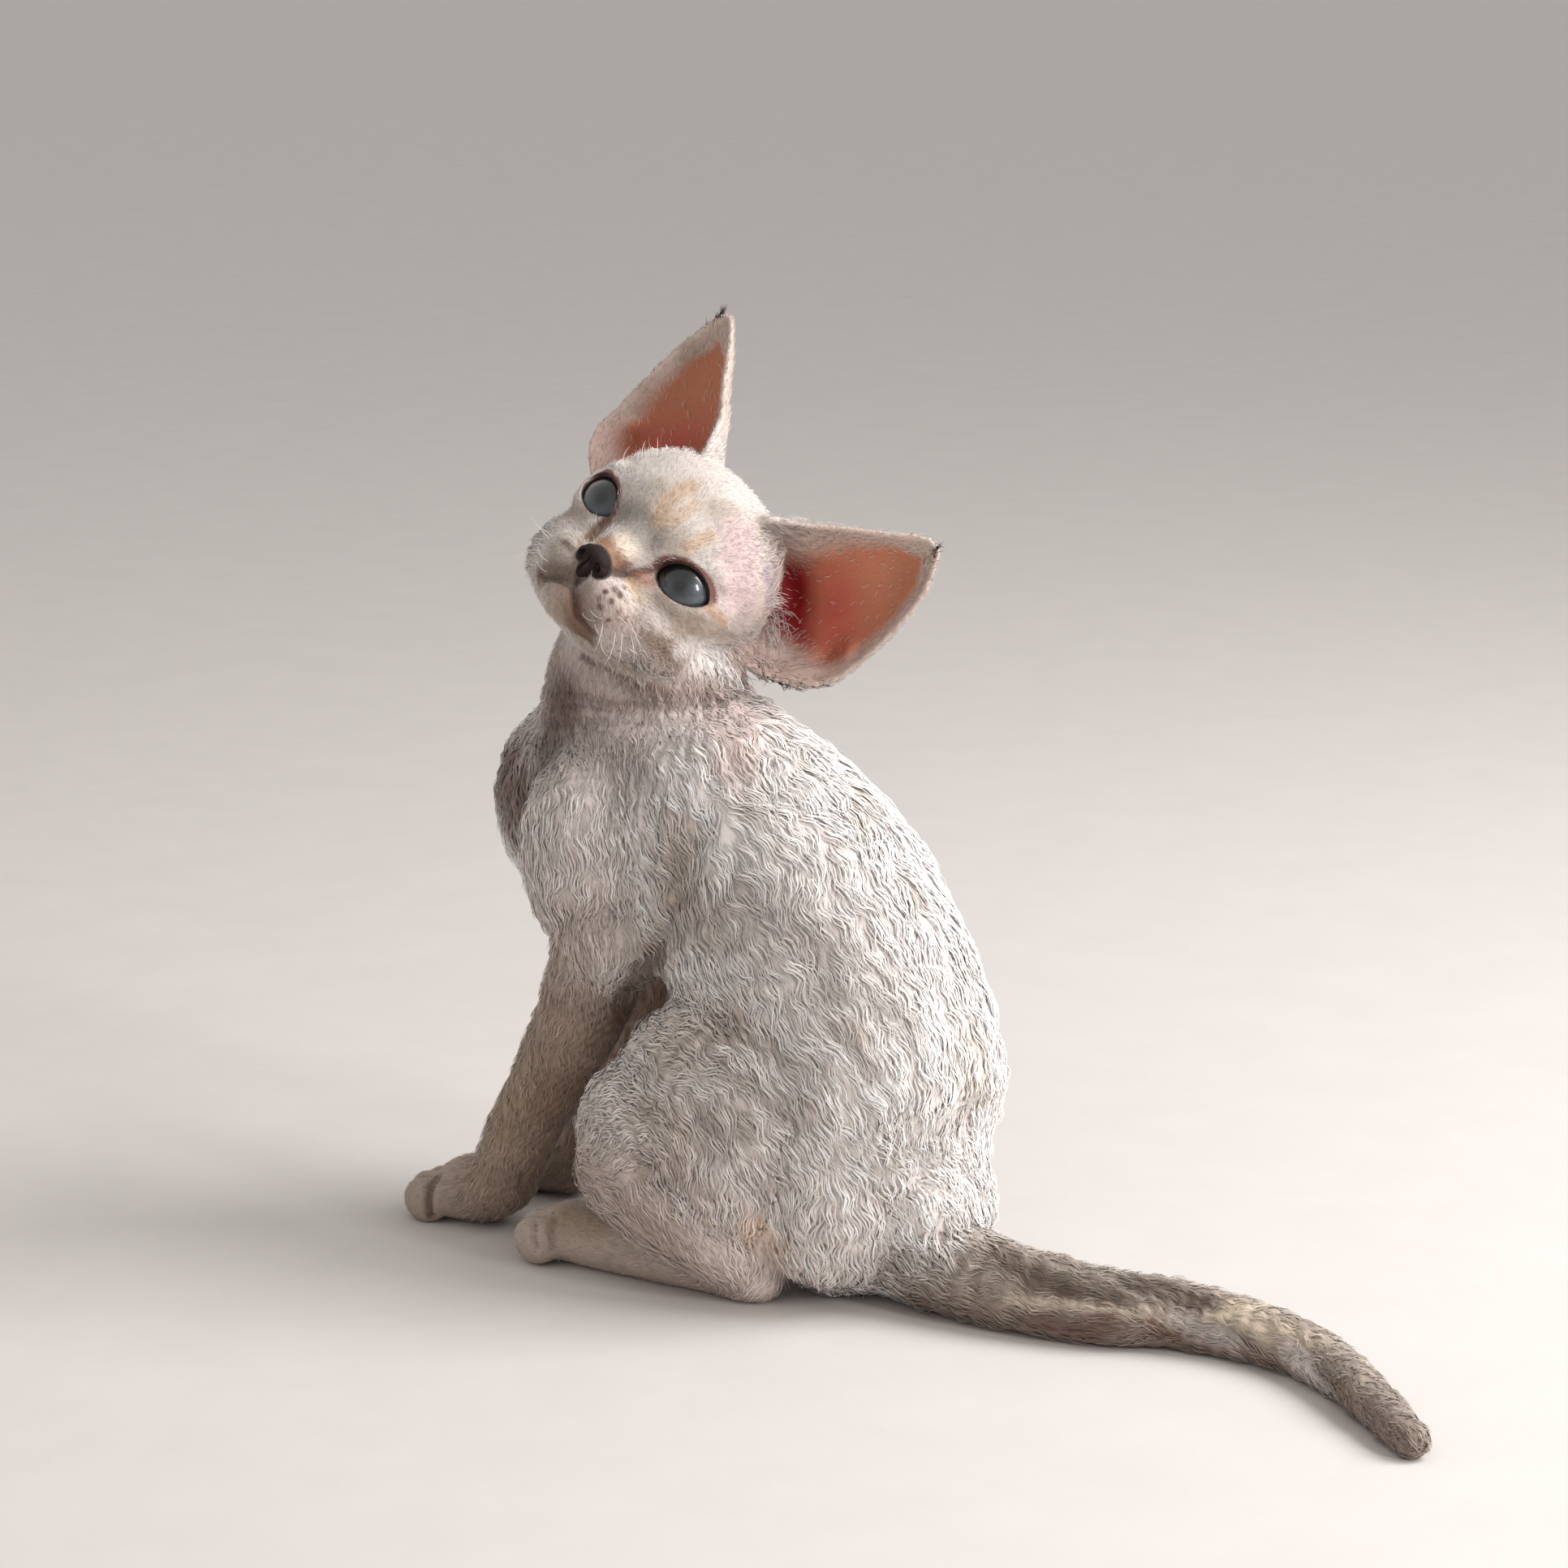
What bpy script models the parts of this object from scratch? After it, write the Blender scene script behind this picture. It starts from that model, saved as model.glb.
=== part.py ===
"""A Devon Rex kitten at life size, about eleven weeks old, sitting and looking back over its left shoulder.

Metres, +Z up. The kitten faces -Y, so its left side is at +X and its tail lies along +Y.
The flesh is laid out as overlapping tubes and balls, fused into one skin, and parted into
named pieces with thin cuts.
"""

import math
import random

import bmesh
import bpy
import numpy as np
from mathutils import Euler, Matrix, Vector
from mathutils.bvhtree import BVHTree

# Driving dimensions

CUT_GAP = 0.0003
FLOOR_DEPTH = 0.05
CAP_ANGLES = (72, 48, 24)

# Spine from rump to breast: x, y, z, half width, half depth
TORSO_RINGS = (
    (0, 0.059, 0.025, 0.018, 0.0155),
    (0, 0.050, 0.036, 0.030, 0.026),
    (0, 0.042, 0.053, 0.033, 0.032),
    (0, 0.032, 0.072, 0.033, 0.034),
    (0, 0.017, 0.091, 0.032, 0.035),
    (0, -0.003, 0.105, 0.029, 0.034),
    (0, -0.022, 0.113, 0.026, 0.031),
    (0, -0.038, 0.114, 0.021, 0.026),
)
BREAST_BALL = ((0, -0.0465, 0.109), (0.020, 0.0205, 0.026))
NECK_RINGS = (
    (0, -0.018, 0.112, 0.024, 0.031),
    (0, -0.025, 0.130, 0.0225, 0.0290),
    (-0.002, -0.026, 0.144, 0.021, 0.0255),
    (-0.004, -0.024, 0.156, 0.019, 0.019),
)
PELVIS_BALL = ((0, 0.038, 0.027), (0.031, 0.026, 0.028))

# Left legs. The right ones mirror them.
THIGH_BALLS = (
    ((0.0255, 0.016, 0.042), (0.0155, 0.031, 0.031)),
    ((0.0315, -0.005, 0.037), (0.0110, 0.015, 0.017)),
    ((0.0170, 0.042, 0.033), (0.0170, 0.019, 0.028)),
)
SHANK_RINGS = (
    (0.033, -0.009, 0.028, 0.0100, 0.0110),
    (0.033, 0.008, 0.020, 0.0105, 0.0110),
    (0.027, 0.024, 0.0115, 0.0085, 0.0090),
)
HIND_FOOT_RINGS = (
    (0.0245, 0.0270, 0.0072, 0.0068, 0.0078),
    (0.0255, 0.0100, 0.0072, 0.0068, 0.0074),
    (0.0265, -0.014, 0.0070, 0.0078, 0.0074),
    (0.0255, -0.030, 0.0070, 0.0096, 0.0074),
)
HIND_TOE_ROW = (0.0255, -0.0375, 0.0058)
UPPER_ARM_BALLS = (
    ((0.0210, -0.027, 0.102), (0.0125, 0.018, 0.026)),
    ((0.0220, -0.018, 0.081), (0.0105, 0.0125, 0.014)),
)
FORELEG_RINGS = (
    (0.0210, -0.021, 0.0870, 0.0105, 0.0130),
    (0.0200, -0.028, 0.0660, 0.0098, 0.0115),
    (0.0180, -0.041, 0.0440, 0.0086, 0.0096),
    (0.0165, -0.054, 0.0240, 0.0080, 0.0086),
    (0.0160, -0.061, 0.0115, 0.0088, 0.0080),
    (0.0155, -0.072, 0.0080, 0.0102, 0.0080),
)
FORE_TOE_ROW = (0.0155, -0.0815, 0.0060)
TOE_RADII = (0.0042, 0.0068, 0.0070)
TOE_SPACING = 0.0058
TOE_SETBACK = 0.0026
TOE_SPLAY = 0.1
TAIL_RINGS = (
    (0.000, 0.040, 0.0190, 0.0125, 0.0130),
    (0.002, 0.058, 0.0130, 0.0115, 0.0125),
    (0.003, 0.080, 0.0095, 0.0100, 0.0105),
    (0.000, 0.105, 0.0082, 0.0086, 0.0090),
    (-0.010, 0.130, 0.0068, 0.0074, 0.0076),
    (-0.008, 0.160, 0.0054, 0.0060, 0.0062),
    (0.010, 0.187, 0.0044, 0.0050, 0.0052),
    (0.023, 0.203, 0.0034, 0.0040, 0.0042),
)

# Head, in its own frame: x to its left, y to the back, z up, from the midpoint between the corneas
HEAD_PLACE = (0.0139, -0.0163, 0.1785)
HEAD_TURN = math.radians(108.3)
HEAD_LIFT = math.radians(31.6)
HEAD_TILT = math.radians(41.2)
HEAD_BALLS = (
    ("cranium", (0, 0.0190, 0.0070), (0.0270, 0.0230, 0.0215)),
    ("temples", (0, 0.0110, 0.0010), (0.0275, 0.0120, 0.0150)),
    ("forehead", (0, 0.0080, 0.0100), (0.0200, 0.0105, 0.0165)),
    ("jaw", (0, 0.0100, -0.0180), (0.0190, 0.0165, 0.0100)),
    ("chin", (0, -0.0005, -0.0225), (0.0078, 0.0075, 0.0056)),
    ("nose_tip", (0, -0.0070, -0.0115), (0.0046, 0.0040, 0.0042)),
)
PAIRED_HEAD_BALLS = (
    ("cheek", (0.0122, 0.0150, -0.0130), (0.0130, 0.0155, 0.0142)),
    ("pad", (0.0066, -0.0005, -0.0158), (0.0084, 0.0085, 0.0068)),
    ("inner_cheek", (0.0075, 0.0045, -0.0065), (0.0075, 0.0065, 0.0080)),
    ("brow", (0.0145, 0.0065, 0.0075), (0.0095, 0.0060, 0.0045)),
    ("lid", (0.0149, 0.0085, 0.0000), (0.0100, 0.0100, 0.0098)),
)
NOSE_BRIDGE_RINGS = (
    (0, 0.0060, 0.0060, 0.0080, 0.0070),
    (0, -0.0005, -0.0020, 0.0062, 0.0052),
    (0, -0.0050, -0.0095, 0.0050, 0.0042),
)
EYE_CENTRE = (0.0149, 0.0085, 0)
EYE_RADIUS = 0.0086
EYE_OPENING = (0.0076, 0.0052, 0.0044)
EYE_SLANT = math.radians(14)
EYE_OUTWARD = math.radians(14)
ALMOND_SIDES = 24
ALMOND_FRONT = -0.016
ALMOND_FLARE = (1.15, 0.9)
NOSE_CELL = ((0, -0.0100, -0.0108), (0.0050, 0.0034, 0.0038))
NOSTRIL = ((0.0022, -0.0118, -0.0122), (0.0010, 0.0020, 0.0008))
MOUTH_POINTS = ((-0.0120, -0.0010, -0.0225), (-0.0085, -0.0065, -0.0215), (-0.0045, -0.0095, -0.0200),
                (0, -0.0105, -0.0178),
                (0.0045, -0.0095, -0.0200), (0.0085, -0.0065, -0.0215), (0.0120, -0.0010, -0.0225))
CLEFT_POINTS = ((0, -0.0110, -0.0150), (0, -0.0105, -0.0165), (0, -0.0105, -0.0180))
MOUTH_RADIUS = 0.0006

# Left ear, in the head's frame: its inner and outer edge from root to tip
EAR_INNER_EDGE = ((0.010, 0.014, 0.018), (0.012, 0.011, 0.026), (0.020, 0.0135, 0.0330), (0.0275, 0.015, 0.0385),
                  (0.0355, 0.017, 0.0455), (0.0424, 0.0182, 0.0518))
EAR_OUTER_EDGE = ((0.021, 0.031, -0.001), (0.0335, 0.033, 0.002), (0.0445, 0.032, 0.010), (0.0480, 0.029, 0.022),
                  (0.0465, 0.024, 0.037), (0.0440, 0.0187, 0.0506))
EAR_DEPTHS = (0.010, 0.014, 0.012, 0.0095, 0.0062, 0.0003)
EAR_BENDS = (90, 92, 82, 72, 62, 50)
EAR_WALL = 0.0014
EAR_COLUMNS = 10
EAR_STEPS = 2

# Cells that part the flesh: a ball, a tube, or all beyond a leaning plane
HEAD_CELL = ((0, 0.0130, -0.0010), (0.0340, 0.0330, 0.0315))
NECK_CUT = (0, -0.030, 0.1230)
NECK_CUT_LEAN = math.radians(12)
NECK_CELL_HALF = (0.06, 0.06, 0.03)
CHEST_CUT = (0, 0.002, 0.0980)
CHEST_CUT_LEAN = math.radians(50)
CHEST_CELL_HALF = (0.06, 0.08, 0.05)
ELBOW_CUT = (0.0215, -0.0250, 0.0750)
ELBOW_CUT_LEAN = math.radians(20)
ELBOW_CELL_HALF = (0.02, 0.04, 0.04)
TAIL_CUTS = (("tail_tip", 0.1620), ("tail_middle", 0.1190), ("tail_base", 0.0765))
TAIL_CUT_LEAN = math.radians(-90)
TAIL_CELL_HALF = (0.2, 0.04, 0.1)
FOREPAW_CUT = (0.0160, -0.0730, -0.0170)
FOREPAW_CELL_HALF = (0.0180, 0.0200, 0.0170)
FORELEG_CELL = (
    (0.0250, -0.0270, 0.1220, 0.0120, 0.0200),
    (0.0235, -0.0240, 0.0850, 0.0140, 0.0200),
    (0.0190, -0.0390, 0.0450, 0.0140, 0.0165),
    (0.0165, -0.0580, 0.0080, 0.0140, 0.0160),
)
HINDFOOT_CELL = (
    (0.0245, 0.0285, 0.0060, 0.0105, 0.0105),
    (0.0255, 0.0100, 0.0060, 0.0105, 0.0105),
    (0.0265, -0.014, 0.0060, 0.0120, 0.0110),
    (0.0255, -0.034, 0.0060, 0.0160, 0.0120),
    (0.0255, -0.042, 0.0060, 0.0160, 0.0120),
)
THIGH_CELL = ((0.0320, 0.0120, 0.0400), (0.0195, 0.0420, 0.0410))

# Curly coat: rounded clumps on each node, as length, half width, rise and half thickness
COAT_SEED = 7
SURFACE_DRAWS = 6000
CLUMP_SPACING = 0.0177
COAT = {
    "torso": (0.0250, 0.0094, 0.0008, 0.0022),
    "chest": (0.0240, 0.0090, 0.0008, 0.0022),
    "thigh": (0.0240, 0.0092, 0.0008, 0.0022),
    "neck": (0.0210, 0.0080, 0.0006, 0.0018),
    "upperarm": (0.0200, 0.0074, 0.0006, 0.0017),
    "tail": (0.0210, 0.0060, 0.0005, 0.0013),
}
COAT_LIE = Vector((0, 0.6, -0.8))
TAIL_LIE = Vector((0.0, 1.0, 0.0))
CLUMP_RINGS = ((0.24, 0.85), (0.68, 1.0))
CLUMP_SIDES = 6
ROOT_DEPTH = 0.0016
CURL = 0.0020
COAT_SOLVER = "MANIFOLD"  # the exact solver loses nodes whose clumps cross one another

# How finely and softly pieces are fused: voxel size, rounds of smoothing
TRUNK_SKIN = (0.0016, 26)
LIMB_SKIN = (0.0012, 5)
HEAD_SKIN = (0.0009, 5)
WHOLE_SKIN = (0.0011, 3)

# The feet and head are cut from a finer copy of the flesh than the rest
DETAILED = ("nose", "head", "forepaw", "hindfoot")
FINE_TRIANGLES = 8000
PLAIN_TRIANGLES = 2500
CREAM = (0.80, 0.76, 0.70)
GREIGE = (0.52, 0.45, 0.38)
NODE_COLOURS = {
    "head": CREAM, "neck": (0.60, 0.54, 0.47), "torso": CREAM, "thigh": CREAM, "tail": GREIGE,
    "chest": CREAM, "upperarm": (0.70, 0.65, 0.58), "foreleg": (0.62, 0.56, 0.49), "forepaw": GREIGE,
    "hindfoot": (0.58, 0.51, 0.43),
    "ear": (0.62, 0.42, 0.36), "eye": (0.16, 0.22, 0.26), "nose": (0.06, 0.03, 0.03),
}


def head_matrix():
    """Places the head's own frame on the body."""
    turned = Matrix.Rotation(HEAD_TURN, 4, "Z")
    lifted = Matrix.Rotation(-HEAD_LIFT, 4, "X")
    tilted = Matrix.Rotation(HEAD_TILT, 4, "Y")
    return Matrix.Translation(HEAD_PLACE) @ turned @ lifted @ tilted


def object_from(name, bm):
    """A named object in the scene that holds this mesh, which is freed."""
    mesh = bpy.data.meshes.new(name)
    bm.to_mesh(mesh)
    bm.free()
    obj = bpy.data.objects.new(name, mesh)
    bpy.context.scene.collection.objects.link(obj)
    return obj


def remove(*objects):
    for obj in objects:
        bpy.data.objects.remove(obj)


def smooth_path(rows, steps):
    """Rows of numbers along a Catmull-Rom curve through the given rows, its ends included."""
    rows = [Vector(row) for row in rows]
    ends = [rows[0] * 2 - rows[1], *rows, rows[-1] * 2 - rows[-2]]
    path = []
    for a, b, c, d in zip(ends, ends[1:], ends[2:], ends[3:]):
        for step in range(steps):
            t = step / steps
            bend = (2 * a - 5 * b + 4 * c - d) * t**2 + (3 * b - a - 3 * c + d) * t**3
            path.append(0.5 * (2 * b + (c - a) * t + bend))
    return [*path, rows[-1]]


def tube_stations(path):
    """Centre, half sizes and size share of each ring of a tube, with rounded ends."""
    centres = [Vector(row[:3]) for row in path]
    angles = [math.radians(a) for a in CAP_ANGLES]
    first_way = (centres[0] - centres[1]).normalized() * min(path[0][3:])
    last_way = (centres[-1] - centres[-2]).normalized() * min(path[-1][3:])
    first = [(centres[0] + first_way * math.sin(a), path[0][3:], math.cos(a)) for a in angles]
    last = [(centres[-1] + last_way * math.sin(a), path[-1][3:], math.cos(a)) for a in reversed(angles)]
    return first + [(centre, row[3:], 1) for centre, row in zip(centres, path)] + last


def loft(name, rings, sides=28, steps=5, grow=0.0):
    """A closed tube through rings of x, y, z, half width and half depth, rounded off at both ends."""
    rings = [(*ring[:3], ring[3] + grow, ring[4] + grow) for ring in rings]
    stations = tube_stations(smooth_path(rings, steps))
    bm = bmesh.new()
    loops = []
    for i, (centre, (half_width, half_depth), share) in enumerate(stations):
        along = (stations[min(i + 1, len(stations) - 1)][0] - stations[max(i - 1, 0)][0]).normalized()
        across = (Vector((1, 0, 0)) - along * along.x).normalized()
        deep = along.cross(across)
        loop = []
        for k in range(sides):
            a = math.tau * k / sides
            wide = across * half_width * math.cos(a)
            loop.append(bm.verts.new(centre + share * (wide + deep * half_depth * math.sin(a))))
        loops.append(loop)
    for one, two in zip(loops, loops[1:]):
        for k in range(sides):
            bm.faces.new((one[k], one[(k + 1) % sides], two[(k + 1) % sides], two[k]))
    bm.faces.new(reversed(loops[0]))
    bm.faces.new(loops[-1])
    bmesh.ops.recalc_face_normals(bm, faces=bm.faces)
    return object_from(name, bm)


def ball(name, centre, radii, turn=(0, 0, 0), detail=4, grow=0.0):
    """A closed ball, stretched to three radii and turned."""
    bm = bmesh.new()
    bmesh.ops.create_icosphere(bm, subdivisions=detail, radius=1)
    radii = [radius + grow for radius in radii]
    bm.transform(Matrix.Translation(centre) @ Euler(turn).to_matrix().to_4x4() @ Matrix.Diagonal((*radii, 1)))
    return object_from(name, bm)


def block(name, centre, half_sizes, turn=(0, 0, 0), grow=0.0):
    """A closed box, turned."""
    bm = bmesh.new()
    bmesh.ops.create_cube(bm, size=2)
    halves = [half + grow for half in half_sizes]
    bm.transform(Matrix.Translation(centre) @ Euler(turn).to_matrix().to_4x4() @ Matrix.Diagonal((*halves, 1)))
    return object_from(name, bm)


def on_side(rows, side):
    """The rows as they are on the left, side 1, or mirrored on the right, side -1."""
    return [(side * row[0], *row[1:]) for row in rows]


def evaluated(obj):
    """The object with its modifiers applied."""
    graph = bpy.context.evaluated_depsgraph_get()
    mesh = bpy.data.meshes.new_from_object(obj.evaluated_get(graph))
    obj.modifiers.clear()
    obj.data = mesh
    return obj


def joined(name, pieces):
    """One object that holds the meshes of all these pieces, which it replaces."""
    bm = bmesh.new()
    for piece in pieces:
        bm.from_mesh(piece.data)
    remove(*pieces)
    return object_from(name, bm)


def fused(name, pieces, voxel, rounds):
    """One skin over overlapping pieces: a voxel remesh, then rounds of smoothing."""
    obj = joined(name, pieces)
    remesh = obj.modifiers.new("one skin", "REMESH")
    remesh.mode = "VOXEL"
    remesh.voxel_size = voxel
    smooth = obj.modifiers.new("soft joins", "SMOOTH")
    smooth.factor = 0.5
    smooth.iterations = rounds
    return evaluated(obj)


def copied(obj, name):
    twin = bpy.data.objects.new(name, obj.data.copy())
    bpy.context.scene.collection.objects.link(twin)
    return twin


def combined(obj, cutter, operation, solver="EXACT"):
    """The object after one Boolean with the cutter, which is removed."""
    cutter.hide_render = True
    cutter.display_type = "WIRE"
    boolean = obj.modifiers.new("cut", "BOOLEAN")
    boolean.operation = operation
    boolean.solver = solver
    boolean.object = cutter
    evaluated(obj)
    remove(cutter)
    return obj


def simplified(obj, triangles):
    """The object with its mesh thinned out to about this many triangles."""
    count = sum(len(face.vertices) - 2 for face in obj.data.polygons)
    if count > triangles:
        decimate = obj.modifiers.new("lighter", "DECIMATE")
        decimate.ratio = triangles / count
        decimate.use_collapse_triangulate = True
        evaluated(obj)
    return obj


def largest_only(obj):
    """The object with only its largest closed surface kept."""
    bm = bmesh.new()
    bm.from_mesh(obj.data)
    left = set(bm.verts)
    groups = []
    while left:
        group = []
        edge_of_group = [left.pop()]
        while edge_of_group:
            vert = edge_of_group.pop()
            group.append(vert)
            for edge in vert.link_edges:
                other = edge.other_vert(vert)
                if other in left:
                    left.discard(other)
                    edge_of_group.append(other)
        groups.append(group)
    groups.sort(key=len)
    bmesh.ops.delete(bm, geom=[vert for group in groups[:-1] for vert in group], context="VERTS")
    bm.to_mesh(obj.data)
    bm.free()
    return obj


def toes(row, side):
    """Four toes side by side, the middle two ahead."""
    made = []
    for k in range(4):
        off = k - 1.5
        place = (side * (row[0] + off * TOE_SPACING), row[1] + abs(off) * TOE_SETBACK, row[2])
        made.append(ball("toe", place, TOE_RADII, (0, 0, -side * off * TOE_SPLAY)))
    return made


def trunk_pieces():
    """Trunk, neck, thighs and upper forelegs, which join softly."""
    made = [loft("trunk", TORSO_RINGS), loft("nape", NECK_RINGS), ball("pelvis", *PELVIS_BALL),
            ball("breast", *BREAST_BALL)]
    for side in (1, -1):
        for centre, radii in (*THIGH_BALLS, *UPPER_ARM_BALLS):
            made.append(ball("muscle", (side * centre[0], *centre[1:]), radii))
        made.append(loft("shank", on_side(SHANK_RINGS, side)))
    return made


def limb_pieces():
    """Forelegs, feet with their toes, and tail."""
    made = [loft("tail_flesh", TAIL_RINGS)]
    for side in (1, -1):
        made.append(loft("hind_foot_flesh", on_side(HIND_FOOT_RINGS, side)))
        made.append(loft("foreleg_flesh", on_side(FORELEG_RINGS, side)))
        made += toes(HIND_TOE_ROW, side)
        made += toes(FORE_TOE_ROW, side)
    return made


def head_pieces():
    """The overlapping shapes of the head, placed on the body."""
    made = [loft("nose_bridge", NOSE_BRIDGE_RINGS)]
    for name, centre, radii in HEAD_BALLS:
        made.append(ball(name, centre, radii))
    for name, centre, radii in PAIRED_HEAD_BALLS:
        for side in (1, -1):
            made.append(ball(name, (side * centre[0], *centre[1:]), radii))
    for piece in made:
        piece.data.transform(head_matrix())
    return made


def whole_flesh():
    """The kitten without its ears and eyes, in one skin."""
    trunk = fused("trunk", trunk_pieces(), *TRUNK_SKIN)
    limbs = fused("limbs", limb_pieces(), *LIMB_SKIN)
    head = fused("head", head_pieces(), *HEAD_SKIN)
    return fused("flesh", [trunk, limbs, head], *WHOLE_SKIN)


def set_down(flesh):
    """The flesh with a flat wherever it meets the floor."""
    return combined(flesh, block("floor", (0, 0, -FLOOR_DEPTH), (0.5, 0.5, FLOOR_DEPTH)), "DIFFERENCE")


def almond(side):
    """The opening between the lids of one eye, as a slanted prism with rounded corners."""
    wide, high, low = EYE_OPENING
    bm = bmesh.new()
    near = []
    far = []
    for k in range(ALMOND_SIDES):
        a = math.tau * k / ALMOND_SIDES
        x = wide * math.cos(a)
        z = (high if math.sin(a) > 0 else low) * math.sin(a)
        near.append(bm.verts.new((x * ALMOND_FLARE[0], ALMOND_FRONT, z * ALMOND_FLARE[0])))
        far.append(bm.verts.new((x * ALMOND_FLARE[1], 0, z * ALMOND_FLARE[1])))
    for k in range(ALMOND_SIDES):
        after = (k + 1) % ALMOND_SIDES
        bm.faces.new((near[k], near[after], far[after], far[k]))
    bm.faces.new(reversed(near))
    bm.faces.new(far)
    bmesh.ops.recalc_face_normals(bm, faces=bm.faces)
    bm.transform(Matrix.Rotation(side * EYE_OUTWARD, 4, "Z") @ Matrix.Rotation(-side * EYE_SLANT, 4, "Y"))
    bm.transform(Matrix.Translation((side * EYE_CENTRE[0], *EYE_CENTRE[1:])))
    bm.transform(head_matrix())
    return object_from("almond", bm)


def ear(name, side):
    """One ear, a cupped leaf with a wall of even thickness."""
    rows = smooth_path([(*inner, *outer, depth, bend) for inner, outer, depth, bend
                        in zip(EAR_INNER_EDGE, EAR_OUTER_EDGE, EAR_DEPTHS, EAR_BENDS)], EAR_STEPS)
    bm = bmesh.new()
    lines = []
    for i, row in enumerate(rows):
        inner = Vector(row[:3])
        outer = Vector(row[3:6])
        ahead = rows[min(i + 1, len(rows) - 1)]
        behind = rows[max(i - 1, 0)]
        rise = Vector(ahead[:3]) + Vector(ahead[3:6]) - Vector(behind[:3]) - Vector(behind[3:6])
        back = (outer - inner).cross(rise).normalized()
        if back.y < 0:
            back = -back
        bend = math.radians(row[7])
        line = []
        for k in range(EAR_COLUMNS + 1):
            s = 2 * k / EAR_COLUMNS - 1
            across = math.sin(bend * s) / math.sin(bend)
            deep = (math.cos(bend * s) - math.cos(bend)) / (1 - math.cos(bend))
            place = (inner + outer) / 2 + (outer - inner) / 2 * across + back * row[6] * deep
            line.append(bm.verts.new((side * place.x, place.y, place.z)))
        lines.append(line)
    for low, high in zip(lines, lines[1:]):
        for k in range(EAR_COLUMNS):
            bm.faces.new((low[k], low[k + 1], high[k + 1], high[k]))
    bmesh.ops.recalc_face_normals(bm, faces=bm.faces)
    middle = lines[len(lines) // 2][EAR_COLUMNS // 2]
    if middle.normal.y < 0:
        bmesh.ops.reverse_faces(bm, faces=bm.faces)
    bm.transform(head_matrix())
    leaf = object_from(name, bm)
    wall = leaf.modifiers.new("wall", "SOLIDIFY")
    wall.thickness = EAR_WALL
    wall.offset = 1
    wall.use_even_offset = True
    return evaluated(leaf)


def ball_cell(spec, side=1, detail=3, on_head=False):
    """Maker of a ball-shaped cell."""
    def make(grow):
        cell = ball("cell", (side * spec[0][0], *spec[0][1:]), spec[1], detail=detail, grow=grow)
        if on_head:
            cell.data.transform(head_matrix())
        return cell

    return make


def tube_cell(rings, side, sides=14, steps=2):
    """Maker of a tube-shaped cell."""
    return lambda grow: loft("cell", on_side(rings, side), sides, steps, grow)


def slab_cell(cut, lean, half_sizes, side=1):
    """Maker of a block that holds what lies beyond a leaning plane through the cut."""
    def make(grow):
        turn = (lean, 0, 0)
        reach = Euler(turn).to_matrix() @ Vector((0, 0, half_sizes[2]))
        return block("cell", Vector((side * cut[0], *cut[1:])) + reach, half_sizes, turn, grow)

    return make


def upper_arm_cell(side):
    """Maker of the part of the foreleg's cell above the elbow."""
    def make(grow):
        above = slab_cell(ELBOW_CUT, ELBOW_CUT_LEAN, ELBOW_CELL_HALF, side)
        return combined(tube_cell(FORELEG_CELL, side, 16, 3)(grow), above(grow), "INTERSECT")

    return make


def cell_makers():
    """Name and maker of each cell, in the order in which the cells are taken from the flesh."""
    makers = [("nose", ball_cell(NOSE_CELL, detail=2, on_head=True)), ("head", ball_cell(HEAD_CELL, on_head=True)),
              ("neck", slab_cell(NECK_CUT, NECK_CUT_LEAN, NECK_CELL_HALF))]
    for name, cut in TAIL_CUTS:
        makers.append((name, slab_cell((0, cut, 0), TAIL_CUT_LEAN, TAIL_CELL_HALF)))
    for side, word in ((1, "left"), (-1, "right")):
        makers += [(f"forepaw_{word}", slab_cell(FOREPAW_CUT, 0, FOREPAW_CELL_HALF, side)),
                   (f"upperarm_{word}", upper_arm_cell(side)),
                   (f"foreleg_{word}", tube_cell(FORELEG_CELL, side, 16, 3)),
                   (f"hindfoot_{word}", tube_cell(HINDFOOT_CELL, side)),
                   (f"thigh_{word}", ball_cell(THIGH_CELL, side))]
    return [*makers, ("chest", slab_cell(CHEST_CUT, CHEST_CUT_LEAN, CHEST_CELL_HALF))]


def painted(obj, name, colour, roughness=0.8):
    """Gives the object a material of its own."""
    material = bpy.data.materials.new(name + "_skin")
    material.use_nodes = True
    shader = material.node_tree.nodes["Principled BSDF"]
    shader.inputs["Base Color"].default_value = (*colour, 1)
    shader.inputs["Roughness"].default_value = roughness
    obj.data.materials.clear()
    obj.data.materials.append(material)


def smooth_shaded(obj):
    for face in obj.data.polygons:
        face.use_smooth = True


def spread_points(obj, spacing, rng):
    """Points spread evenly over the surface, with their normals: each is the farthest from those before."""
    faces = list(obj.data.polygons)
    verts = obj.data.vertices
    drawn = []
    for face in rng.choices(faces, [face.area for face in faces], k=SURFACE_DRAWS):
        a, b, c = (verts[k].co for k in face.vertices[:3])
        u, v = sorted((rng.random(), rng.random()))
        drawn.append((a * u + b * (v - u) + c * (1 - v), face.normal.copy()))
    places = np.array([point for point, normal in drawn])
    gaps = np.full(SURFACE_DRAWS, np.inf)
    chosen = []
    while gaps.max() > spacing:
        k = int(gaps.argmax())
        chosen.append(drawn[k])
        gaps = np.minimum(gaps, np.linalg.norm(places - places[k], axis=1))
    return chosen


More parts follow.
